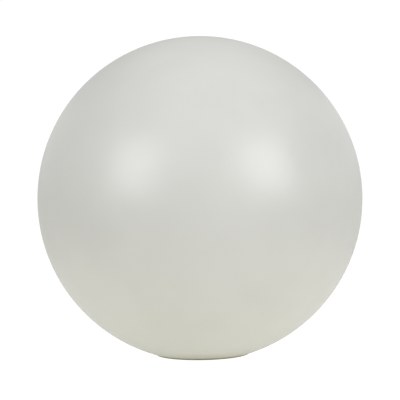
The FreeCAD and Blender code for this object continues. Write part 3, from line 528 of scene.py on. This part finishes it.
def light_chip():
    """White chip body round a yellow phosphor pool."""
    finish = Finish("light_chip", {"IOR": 1.5})
    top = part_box("light_chips")[1].z
    normal = finish.add("ShaderNodeNewGeometry", output="Normal")
    facing = finish.add("ShaderNodeSeparateXYZ", None, {0: normal}, "Z")
    pool = (facing > 0.5) * (finish.xyz()[2] < top - 0.1 * MM)
    grain = finish.noise(0.2 * MM, 3.0)
    phosphor = finish.mix(grain, (0.72, 0.50, 0.04), (0.82, 0.62, 0.10))
    body = finish.mix(grain, (0.78, 0.78, 0.76), (0.84, 0.84, 0.82))
    finish.give({"Base Color": finish.mix(pool, body, phosphor),
                 "Roughness": 0.45 - pool * 0.2})
    finish.bump(grain, 0.008 * MM, 0.4)
    return finish.material


def status_epoxy():
    """Small green indicator moulded in clear epoxy."""
    return grained("status_epoxy", {"IOR": 1.5}, (0.6 * MM, 2.0),
                   ((0.30, 0.62, 0.30), (0.42, 0.75, 0.40)), (0.18, 0.1))


def clear_plastic():
    """Clear moulded plastic with a faint flow texture."""
    return grained("clear_plastic", {"IOR": 1.49, "Transmission Weight": 0.92}, (9 * MM, 2.0),
                   ((0.93, 0.94, 0.94), (0.97, 0.97, 0.97)), (0.10, 0.06), (0.05 * MM, 0.3))


def make_finishes(colours):
    """One material for each slot of the record, and one for each cell."""
    return {
        "globe_plastic": globe_finish(colours),
        "base_plastic": textured_plastic("base_plastic_grained", colours.base),
        "housing_plastic": textured_plastic("housing_plastic_satin", colours.housing, 0.42,
                                            0.5 * MM, 0.01 * MM),
        "button_plastic": textured_plastic("button_plastic_satin", colours.button, 0.4,
                                           0.25 * MM, 0.01 * MM),
        "door_plastic": textured_plastic("door_plastic_satin", colours.door, 0.45),
        "foot_rubber": rubber("foot_rubber_matt", colours.foot),
        "seal_rubber": rubber("seal_rubber_matt", colours.seal, 0.6),
        "thermal_rubber": gap_pad(),
        "screw_steel": zinc_plate(),
        "spring_steel": drawn_wire(),
        "tab_nickel": rolled_nickel(),
        "contact_metal": turned_brass(),
        "socket_plastic": textured_plastic("socket_plastic_matt", (0.012, 0.012, 0.013), 0.5, 0.2 * MM),
        "switch_plastic": textured_plastic("switch_plastic_matt", (0.02, 0.02, 0.022), 0.5, 0.2 * MM),
        "board_green": laminate("green_laminate", colours.board, (0.02, 0.14, 0.05),
                                solid_places("board_screws"), 3.0 * MM),
        "board_white": laminate("white_laminate", (0.80, 0.80, 0.78), (0.70, 0.70, 0.68),
                                solid_places("light_screws"), 2.8 * MM),
        "chip_black": chip_epoxy(),
        "can_aluminium": drawn_can(),
        "coil_ferrite": wound_coil(),
        "connector_plastic": textured_plastic("natural_nylon", (0.70, 0.68, 0.58), 0.45, 0.4 * MM,
                                              0.008 * MM),
        "lead_red": insulated("red", (0.42, 0.015, 0.012)),
        "lead_black": insulated("black", (0.012, 0.012, 0.013)),
        "lead_white": insulated("white", (0.70, 0.70, 0.67)),
        "spreader_aluminium": turned_aluminium(),
        "led_phosphor": light_chip(),
        "led_green": status_epoxy(),
        "clear_plastic": clear_plastic(),
        "battery_cell_left": cell_film("left", colours.wrap, True),
        "battery_cell_right": cell_film("right", colours.wrap, False),
    }


# Modelling by hand, in steps that several pieces share

def leave_edit():
    bpy.ops.object.mode_set(mode="OBJECT")


def select_mesh():
    bpy.ops.mesh.select_all(action="SELECT")


def rest():
    """Leaves edit mode and selects nothing."""
    active = bpy.context.object
    if active and active.mode != "OBJECT":
        leave_edit()
    bpy.ops.object.select_all(action="DESELECT")


def select_only(piece):
    rest()
    piece.select_set(True)
    bpy.context.view_layer.objects.active = piece


def edit(piece):
    """Opens only this piece in edit mode."""
    select_only(piece)
    bpy.ops.object.mode_set(mode="EDIT")


def pick(kind, wanted):
    """In edit mode, selects only the edges or faces that the test wants."""
    bpy.ops.mesh.select_mode(type=kind)
    bpy.ops.mesh.select_all(action="DESELECT")
    data = bpy.context.object.data
    mesh = bmesh.from_edit_mesh(data)
    for item in {"EDGE": mesh.edges, "FACE": mesh.faces}[kind]:
        if wanted(item):
            item.select_set(True)
    mesh.select_flush_mode()
    bmesh.update_edit_mesh(data)


def merge_doubles():
    """In edit mode, merges vertices in one place and leaves the whole mesh selected."""
    select_mesh()
    bpy.ops.mesh.remove_doubles(threshold=MERGE)
    select_mesh()


def face_out():
    """Turns every face outwards and leaves edit mode."""
    select_mesh()
    bpy.ops.mesh.normals_make_consistent(inside=False)
    leave_edit()


def extrude(move):
    bpy.ops.mesh.extrude_region_move(TRANSFORM_OT_translate={"value": move})


def apply_place():
    bpy.ops.object.transform_apply(location=True, rotation=True, scale=True)


class Profile:
    """Line in the XZ plane, drawn from one vertex by extruding it and spinning it."""

    def __init__(self, name, start):
        rest()
        bpy.ops.mesh.primitive_plane_add(size=MM, location=(0, 0, 0))
        self.piece = bpy.context.object
        self.piece.name = name
        self.piece.data.name = name
        self.at = start
        bpy.ops.object.mode_set(mode="EDIT")
        bpy.ops.mesh.select_mode(type="VERT")
        select_mesh()
        bpy.ops.mesh.merge(type="CENTER")
        bpy.ops.transform.translate(value=(start[0], 0, start[1]))

    def to(self, *points):
        """Straight on to each (radius, height) point."""
        for radius, height in points:
            extrude((radius - self.at[0], 0, height - self.at[1]))
            self.at = (radius, height)

    def arc(self, centre, angle, steps):
        """Round a centre by an angle, turning from +X towards +Z where it is positive."""
        bpy.ops.mesh.spin(steps=steps, angle=angle, center=(centre[0], 0, centre[1]), axis=(0, 1, 0))
        across, up = self.at[0] - centre[0], self.at[1] - centre[1]
        self.at = (centre[0] + across * math.cos(angle) - up * math.sin(angle),
                   centre[1] + across * math.sin(angle) + up * math.cos(angle))

    def spin(self, steps):
        """Turns the line round the Z axis into a closed piece."""
        merge_doubles()
        bpy.ops.mesh.spin(steps=steps, angle=TURN, center=(0, 0, 0), axis=(0, 0, 1))
        merge_doubles()
        bpy.ops.mesh.delete_loose(use_verts=True, use_edges=True, use_faces=False)
        face_out()
        return self.piece

    def slab(self, width):
        """Fills the closed line and gives it a width along Y, half to each side."""
        merge_doubles()
        bpy.ops.mesh.edge_face_add()
        bpy.ops.transform.translate(value=(0, -width / 2, 0))
        extrude((0, width, 0))
        face_out()
        return self.piece


def dress(piece, body, slot, *nodes):
    """Gives a finished piece its smoothing, the finish of its slot and its body, and hides the nodes it
    stands for.
    """
    select_only(piece)
    apply_place()
    bpy.ops.object.shade_smooth_by_angle(angle=SMOOTH_ANGLE)
    piece.data.materials.clear()
    piece.data.materials.append(bpy.data.materials[bpy.context.scene["finish_" + slot]])
    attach(piece, body)
    if nodes:
        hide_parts(*nodes)
    rest()


def own_copy(piece):
    """Copy with a mesh of its own, alone selected."""
    copy = piece.copy()
    copy.data = piece.data.copy()
    copy.parent = None
    bpy.context.scene.collection.objects.link(copy)
    select_only(copy)
    return copy


def copy_at(piece, place, turn=0.0):
    """Copy that is turned round the Z axis and moved."""
    copy = own_copy(piece)
    copy.rotation_euler.z = turn
    copy.location = place
    apply_place()
    return copy


def node_copy(node):
    """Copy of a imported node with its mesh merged."""
    copy = own_copy(frame["nodes"][node])
    edit(copy)
    merge_doubles()
    leave_edit()
    return copy


def solid_points(node):
    """Vertices of each separate solid of a node."""
    edit(node_copy(node))
    bpy.ops.mesh.separate(type="LOOSE")
    leave_edit()
    solids = []
    for part in list(bpy.context.selected_objects):
        solids.append([vertex.co.copy() for vertex in part.data.vertices])
        bpy.data.objects.remove(part)
    return solids


def box_of(points):
    """Lowest and highest corner."""
    return tuple(Vector(end(point[axis] for point in points) for axis in range(3)) for end in (min, max))


def solid_boxes(node):
    """Box of each separate solid of a node, in order."""
    boxes = [box_of(points) for points in solid_points(node)]
    return sorted(boxes, key=lambda box: (round(box[0].x / MM), round(box[0].y / MM)))


def solid_places(node):
    """Middle of each separate solid of a node, seen from above, in order."""
    return [(low.x / 2 + high.x / 2, low.y / 2 + high.y / 2) for low, high in solid_boxes(node)]


def cut_away(piece, tool):
    """Takes the tool's shape out of the piece and removes the tool."""
    select_only(piece)
    cut = piece.modifiers.new("cut", "BOOLEAN")
    cut.operation = "DIFFERENCE"
    cut.solver = "EXACT"
    cut.object = tool
    bpy.ops.object.modifier_apply(modifier=cut.name)
    bpy.data.objects.remove(tool)


def join(pieces):
    """Makes one piece of several."""
    select_only(pieces[0])
    for piece in pieces:
        piece.select_set(True)
    bpy.ops.object.join()
    return pieces[0]


def in_sector(point):
    """Degrees from the middle of the lug before it, going round from +X."""
    return math.degrees(math.atan2(point.y, point.x)) % 360 % LUG_SECTOR


# Operators, one for each piece or group of pieces

class GLOBE_LAMP_OT_finishes(bpy.types.Operator):
    """Make every finish and put it on the nodes that keep their own shape"""
    bl_idname = "globe_lamp.finishes"
    bl_label = "Finishes"

    def execute(self, context):
        made = make_finishes(context.scene.globe_lamp_colours)
        for slot, material in made.items():
            context.scene["finish_" + slot] = material.name
        for part in frame["record"]["subparts"]:
            node = frame["nodes"][part["node"]]
            node.data.materials.clear()
            own = part["node"] if part["node"] in made else part["material_slot"]
            node.data.materials.append(made[own])
        return {"FINISHED"}


class GLOBE_LAMP_OT_globe(bpy.types.Operator):
    """Model the moulded globe with its floor opening, notches and twist stops"""
    bl_idname = "globe_lamp.globe"
    bl_label = "Globe"

    def execute(self, context):
        sizes = context.scene.globe_lamp_sizes
        low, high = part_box("globe_shell")
        housing_low, housing_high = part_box("module_housing")
        radius = high.x
        inner = radius - sizes.globe_wall
        centre = high.z - radius
        floor = low.z + sizes.globe_wall
        opening = -housing_low.x + sizes.opening_gap
        notch = housing_high.x + sizes.notch_gap
        near, far = opening + sizes.notch_gap, notch - sizes.notch_gap
        bend = sizes.globe_edge_round
        bend_up = low.z + bend
        bend_out = math.sqrt((radius - bend) ** 2 - (centre - bend_up) ** 2)
        bend_angle = math.atan2(bend_out, centre - bend_up)
        inner_edge = math.sqrt(inner ** 2 - (centre - floor) ** 2)
        inner_angle = math.atan2(inner_edge, centre - floor)
        profile = Profile("globe", (opening, floor))
        profile.to((opening, low.z), (near, low.z), (far, low.z), (notch, low.z), (bend_out, low.z))
        profile.arc((bend_out, bend_up), bend_angle, EDGE_STEPS)
        profile.arc((0, centre), math.pi - bend_angle, OUTER_STEPS)
        profile.to((0, centre + inner))
        profile.arc((0, centre), -(math.pi - inner_angle), INNER_STEPS)
        profile.to((notch, floor), (far, floor), (near, floor), (opening, floor))
        piece = profile.spin(sizes.globe_steps)
        self.cut_notches(piece, notch, low.z, floor)
        self.raise_stops(piece, near, far, floor, sizes.stop_height)
        dress(piece, "globe", "globe_plastic", "globe_shell")
        return {"FINISHED"}

    def cut_notches(self, piece, notch, under, floor):
        """Takes out the floor over each notch and walls the cut."""
        def is_floor(face):
            middle = face.calc_center_median()
            return (under - ON_LEVEL < middle.z < floor + ON_LEVEL and middle.xy.length < notch
                    and abs(in_sector(middle) - NOTCH_MIDDLE) < NOTCH_HALF)

        def is_upper_rim(edge):
            middle = (edge.verts[0].co + edge.verts[1].co) / 2
            return edge.is_boundary and abs(middle.z - floor) < ON_LEVEL

        edit(piece)
        pick("FACE", is_floor)
        bpy.ops.mesh.delete(type="FACE")
        pick("EDGE", is_upper_rim)
        extrude((0, 0, under - floor))
        merge_doubles()
        face_out()

    def raise_stops(self, piece, near, far, floor, height):
        """Extrudes the blocks beside each notch up from the floor."""
        def is_stop(face):
            middle = face.calc_center_median()
            level = abs(middle.z - floor) < ON_LEVEL and abs(face.normal.z) > 0.9
            return (level and near < middle.xy.length < far
                    and STOP_START < in_sector(middle) < STOP_END)

        edit(piece)
        pick("FACE", is_stop)
        extrude((0, 0, height))
        leave_edit()


class GLOBE_LAMP_OT_foot(bpy.types.Operator):
    """Model the rubber foot with grooves round its tread"""
    bl_idname = "globe_lamp.foot"
    bl_label = "Foot ring"

    def execute(self, context):
        depth = context.scene.globe_lamp_sizes.tread_depth
        low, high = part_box("foot_ring")
        vertices = frame["nodes"]["foot_ring"].data.vertices
        inner = min(math.hypot(vertex.co.x, vertex.co.y) for vertex in vertices)
        outer = high.x
        ease = (high.z - low.z) * FOOT_EASE
        half = (outer - inner) * GROOVE_HALF
        profile = Profile("foot", (inner, high.z))
        profile.to((inner, low.z + ease), (inner + ease, low.z))
        for groove in range(1, GROOVES + 1):
            middle = inner + (outer - inner) * groove / (GROOVES + 1)
            profile.to((middle - half * 2, low.z), (middle - half, low.z + depth),
                       (middle + half, low.z + depth), (middle + half * 2, low.z))
        profile.to((outer - ease, low.z), (outer, low.z + ease), (outer, high.z), (inner, high.z))
        dress(profile.spin(FOOT_STEPS), "base", "foot_rubber", "foot_ring")
        return {"FINISHED"}


class GLOBE_LAMP_OT_screws(bpy.types.Operator):
    """Model the pan-head screws with a cross recess and a thread"""
    bl_idname = "globe_lamp.screws"
    bl_label = "Screws"

    def execute(self, context):
        sizes = context.scene.globe_lamp_sizes
        for node in ("base_screws", "dome_screws", "board_screws", "clamp_screws", "light_screws"):
            first = self.turn_screw(node, solid_points(node)[0], sizes)
            self.cut_cross(first)
            screws = [copy_at(first, (x, y, 0)) for x, y in solid_places(node)]
            bpy.data.objects.remove(first)
            dress(join(screws), "base", "screw_steel", node)
        return {"FINISHED"}

    def turn_screw(self, node, points, sizes):
        """One screw on the Z axis, with the sizes of one that was packed."""
        low, high = box_of(points)
        spread = [((point.xy - (low.xy + high.xy) / 2).length, point.z) for point in points]
        self.head = max(radius for radius, z in spread)
        rim = [z for radius, z in spread if radius > self.head - ON_RIM]
        driven_from_below = rim[0] < (low.z + high.z) / 2
        self.crown, tip = (low.z, high.z) if driven_from_below else (high.z, low.z)
        self.inward = 1 if driven_from_below else -1
        edge, seat = (min(rim), max(rim)) if driven_from_below else (max(rim), min(rim))
        ease = abs(edge - self.crown)
        shank = max(radius for radius, z in spread if abs(z - tip) < ON_RIM)
        self.head_height = abs(seat - self.crown)

        profile = Profile(node, (0, self.crown))
        for step in range(CROWN_STEPS + 1):
            turn = step * math.pi / 2 / CROWN_STEPS
            profile.to((self.head - ease + ease * math.sin(turn),
                        self.crown + self.inward * ease * (1 - math.cos(turn))))
        at = seat + self.inward * sizes.thread_pitch
        profile.to((self.head, seat), (shank, seat), (shank, at))
        while abs(tip - at) > sizes.thread_pitch * 2:
            root = at + self.inward * sizes.thread_pitch / 2
            at += self.inward * sizes.thread_pitch
            profile.to((shank - sizes.thread_depth, root), (shank, at))
        profile.to((shank * TIP_SHARE, tip), (0, tip))
        return profile.spin(sizes.screw_steps)

    def cut_cross(self, screw):
        """Sinks two crossed, tapered slots into the crown."""
        depth = self.head_height * CROSS_DEPTH
        lip = self.head_height * CROSS_LIP
        radii = (self.head * CROSS_WIDE, self.head * CROSS_NARROW)
        low_radius, high_radius = radii if self.inward > 0 else reversed(radii)
        middle = self.crown + self.inward * (depth - lip) / 2
        for turn in (0, math.pi / 2):
            rest()
            bpy.ops.mesh.primitive_cone_add(vertices=4, radius1=low_radius, radius2=high_radius,
                                            depth=depth + lip, location=(0, 0, middle),
                                            rotation=(0, 0, math.pi / 4))
            tool = bpy.context.object
            apply_place()
            edit(tool)
            select_mesh()
            bpy.ops.transform.resize(value=(1, CROSS_SLIM, 1), center_override=(0, 0, 0))
            bpy.ops.transform.rotate(value=turn, orient_axis="Z", center_override=(0, 0, 0))
            leave_edit()
            cut_away(screw, tool)


class GLOBE_LAMP_OT_button_ring(bpy.types.Operator):
    """Model the low ring on the button that a finger finds by touch"""
    bl_idname = "globe_lamp.button_ring"
    bl_label = "Button ring"

    def execute(self, context):
        height = context.scene.globe_lamp_sizes.button_ring_height
        low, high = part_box("power_button")
        radius = (high.x - low.x) * RING_PLACE
        half = height * RING_HALF
        crest = half * RING_CREST
        sunk = low.z + height
        profile = Profile("button_ring", (radius - half, sunk))
        profile.to((radius - half, low.z), (radius - crest, low.z - height),
                   (radius + crest, low.z - height), (radius + half, low.z),
                   (radius + half, sunk), (radius - half, sunk))
        ring = profile.spin(RING_STEPS)
        ring.location = ((low.x + high.x) / 2, 0, 0)
        dress(ring, "power_button", "button_plastic")
        return {"FINISHED"}


class GLOBE_LAMP_OT_spring(bpy.types.Operator):
    """Dress the button's spring: a merged copy of the packed one, in spring steel on the base"""
    bl_idname = "globe_lamp.spring"
    bl_label = "Button spring"

    def execute(self, context):
        press = next(joint for joint in frame["record"]["behaviour"]["joints"]
                     if joint["name"] == "power_button_press")
        low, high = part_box("button_spring")
        spring = node_copy("button_spring")
        spring.name = "coil_spring"
        dress(spring, "base", "spring_steel", "button_spring")
        keep = 1 - press["range_m"][1] / (high.z - low.z)
        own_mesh(spring)
        return {"FINISHED"}


class GLOBE_LAMP_OT_chip_legs(bpy.types.Operator):
    """Model the bent legs along two sides of each chip"""
    bl_idname = "globe_lamp.chip_legs"
    bl_label = "Chip legs"

    def execute(self, context):
        pitch = context.scene.globe_lamp_sizes.leg_pitch
        wide = pitch * LEG_WIDTH
        boxes = solid_boxes("board_chips")
        first = self.bend_leg(pitch, wide, (boxes[0][1].z - boxes[0][0].z) / 2)
        legs = []
        for low, high in boxes:
            along, across = (0, 1) if high.x - low.x > high.y - low.y else (1, 0)
            count = int((high[along] - low[along] - wide) / pitch)
            start = (low[along] + high[along] - (count - 1) * pitch) / 2
            for edge, turn in ((low[across], math.pi), (high[across], 0)):
                for number in range(count):
                    place = Vector((0, 0, high.z))
                    place[along] = start + number * pitch
                    place[across] = edge
                    legs.append(copy_at(first, place, turn + math.pi / 2 * across))
        bpy.data.objects.remove(first)
        dress(join(legs), "base", "tab_nickel")
        return {"FINISHED"}

    def bend_leg(self, pitch, wide, level):
        """Strip that leaves a chip at X = 0, rises to the board at Z = 0 and turns out along it."""
        thick, drop, reach = pitch * LEG_THICKNESS, pitch * LEG_DROP, pitch * LEG_REACH
        outer, inner = drop + thick / 2, drop - thick / 2
        under, over = -level - thick / 2, -level + thick / 2
        profile = Profile("chip_legs", (-thick, under))
        profile.to((outer, under), (outer, -thick), (reach, -thick), (reach, 0), (inner, 0),
                   (inner, over), (-thick, over), (-thick, under))
        return profile.slab(wide)


class GLOBE_LAMP_OT_stage(bpy.types.Operator):
    """Set the floor, the lamps, the room light and the camera"""
    bl_idname = "globe_lamp.stage"
    bl_label = "Stage"

    def execute(self, context):
        stage = context.scene.globe_lamp_stage
        context.scene.view_settings.view_transform = "Standard"
        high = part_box("globe_shell")[1]
        centre = Vector((0, 0, high.z - high.x))
        self.lay_floor(stage)
        self.light_room(context.scene, stage)
        for side in ("left", "right"):
            self.hang_lamp(side, stage, centre)
        self.place_camera(context.scene, stage, centre, high.x)
        return {"FINISHED"}

    def seen(self, nodes, mirror=1.0):
        """1 for what the camera sees, and the mirror share by reflection or through glass."""
        path = nodes.add("ShaderNodeLightPath").socket.node.outputs
        bent = Link(nodes, path["Is Glossy Ray"]) + Link(nodes, path["Is Transmission Ray"])
        return (Link(nodes, path["Is Camera Ray"]) + bent * mirror).capped()

    def lay_floor(self, stage):
        """Pale floor that glows under the globe and shows almost white to the camera."""
        rest()
        bpy.ops.mesh.primitive_grid_add(x_subdivisions=FLOOR_CUTS, y_subdivisions=FLOOR_CUTS,
                                        size=FLOOR_SIZE, location=(0, 0, 0))
        floor = bpy.context.object
        floor.name = "floor"
        finish = Finish("pale_floor", {"Roughness": 0.9, "Specular IOR Level": 0.0,
                                       "Emission Strength": stage.floor_glow})
        away = finish.add("ShaderNodeVectorMath", {"operation": "LENGTH"}, {0: finish.place()}, "Value")
        pale = away.ramp(stage.floor_near, stage.floor_far)
        glow = away.ramp(stage.glow_near, stage.glow_far)
        mirror = away.ramp(stage.mirror_near, stage.mirror_far) * stage.mirror_share
        finish.give({"Base Color": finish.mix(pale, stage.floor_colour, stage.floor_edge_colour),
                     "Emission Color": finish.mix(glow, WHITE, (stage.glow_away,) * 3)})
        white = finish.add("ShaderNodeEmission", None, {"Color": WHITE, "Strength": stage.floor_white})
        shown = finish.add("ShaderNodeMixShader", None,
                           {0: self.seen(finish, mirror) * (1 - stage.shadow_share),
                            1: Link(finish, finish.shader.outputs[0]), 2: white})
        finish.join(shown, finish.tree.nodes["Material Output"].inputs["Surface"])
        floor.data.materials.append(finish.material)

    def light_room(self, scene, stage):
        """Light from all round that differs by direction, with white where the camera looks."""
        world = bpy.data.worlds.new("room")
        world.use_nodes = True
        scene.world = world
        room = Nodes(world.node_tree)
        way = room.add("ShaderNodeTexCoord", output="Generated")
        squares = room.add("ShaderNodeVectorMath", {"operation": "MULTIPLY"}, {0: way, 1: way})
        light = tuple(stage.room_light)
        for source, axis, tint in ((way, "X", stage.room_right), (way, "Y", stage.room_back),
                                   (squares, "X", stage.room_sides), (squares, "Z", stage.room_ends)):
            share = room.add("ShaderNodeSeparateXYZ", None, {0: source}, axis)
            light = room.add("ShaderNodeVectorMath", {"operation": "MULTIPLY_ADD"},
                             {0: share, 1: tuple(tint), 2: light})
        room.join(room.mix(self.seen(room), light, WHITE), room.tree.nodes["Background"].inputs["Color"])

    def hang_lamp(self, side, stage, centre):
        """Square lamp that faces the globe. Its power follows from its radiance."""
        turn, rise, radiance = (getattr(stage, side + end) for end in ("_turn", "_rise", "_lamp"))
        way = Vector((math.sin(turn) * math.cos(rise), -math.cos(turn) * math.cos(rise), math.sin(rise)))
        rest()
        bpy.ops.object.light_add(type="AREA", location=centre + way * stage.lamp_distance)
        lamp = bpy.context.object
        lamp.name = side + "_softbox"
        lamp.rotation_euler = way.to_track_quat("Z", "Y").to_euler()
        lamp.data.shape = "SQUARE"
        lamp.data.size = stage.lamp_size
        lamp.data.energy = radiance * math.pi * stage.lamp_size * stage.lamp_size
        lamp.visible_camera = False

    def place_camera(self, scene, stage, centre, radius):
        """Looks at the globe's centre from the photograph's angle, with its framing by shift."""
        rest()
        rise = stage.camera_rise
        back = Vector((0, -math.cos(rise), math.sin(rise)))
        bpy.ops.object.camera_add(location=centre + back * stage.camera_distance)
        camera = bpy.context.object
        camera.name = "photo_camera"
        aim = (-back).to_track_quat("-Z", "Y")
        camera.rotation_mode = "QUATERNION"
        camera.rotation_quaternion = aim @ Matrix.Rotation(-stage.camera_roll, 3, "Z").to_quaternion()
        half_angle = math.asin(radius / stage.camera_distance)
        camera.data.sensor_width = SENSOR_WIDTH
        camera.data.lens = SENSOR_WIDTH * stage.globe_pixels / math.tan(half_angle) / FRAME_PIXELS
        camera.data.shift_x = (FRAME_PIXELS / 2 - stage.centre_x_pixel) / FRAME_PIXELS
        camera.data.shift_y = (stage.centre_y_pixel - FRAME_PIXELS / 2) / FRAME_PIXELS
        camera.data.clip_end = CLIP_END
        scene.camera = camera


OPERATORS = [GLOBE_LAMP_OT_finishes, GLOBE_LAMP_OT_globe, GLOBE_LAMP_OT_foot, GLOBE_LAMP_OT_screws,
             GLOBE_LAMP_OT_button_ring, GLOBE_LAMP_OT_spring, GLOBE_LAMP_OT_chip_legs,
             GLOBE_LAMP_OT_stage]


class GLOBE_LAMP_PT_panel(bpy.types.Panel):
    """Lists the sizes, the colours, the stage and the pieces"""
    bl_idname = "GLOBE_LAMP_PT_panel"
    bl_label = "Globe Lamp"
    bl_space_type = "VIEW_3D"
    bl_region_type = "UI"
    bl_category = "Globe Lamp"

    def draw(self, context):
        layout = self.layout
        for group in GROUPS:
            settings = getattr(context.scene, group)
            box = layout.box()
            for name in settings.__annotations__:
                box.prop(settings, name)
        for operator in OPERATORS:
            layout.operator(operator.bl_idname)


GROUPS = {"globe_lamp_sizes": GlobeLampSizes, "globe_lamp_colours": GlobeLampColours,
          "globe_lamp_stage": GlobeLampStage}
CLASSES = [*GROUPS.values(), *OPERATORS, GLOBE_LAMP_PT_panel]


def register():
    for kind in CLASSES:
        bpy.utils.register_class(kind)
    for name, group in GROUPS.items():
        setattr(bpy.types.Scene, name, bpy.props.PointerProperty(type=group))


def unregister():
    for name in GROUPS:
        delattr(bpy.types.Scene, name)
    for kind in reversed(CLASSES):
        bpy.utils.unregister_class(kind)


def main():
    """Registers the add-on and makes every piece."""
    register()
    for operator in OPERATORS:
        category, name = operator.bl_idname.split(".")
        getattr(getattr(bpy.ops, category), name)()
    bpy.context.view_layer.update()


if __name__ == "__main__":
    main()
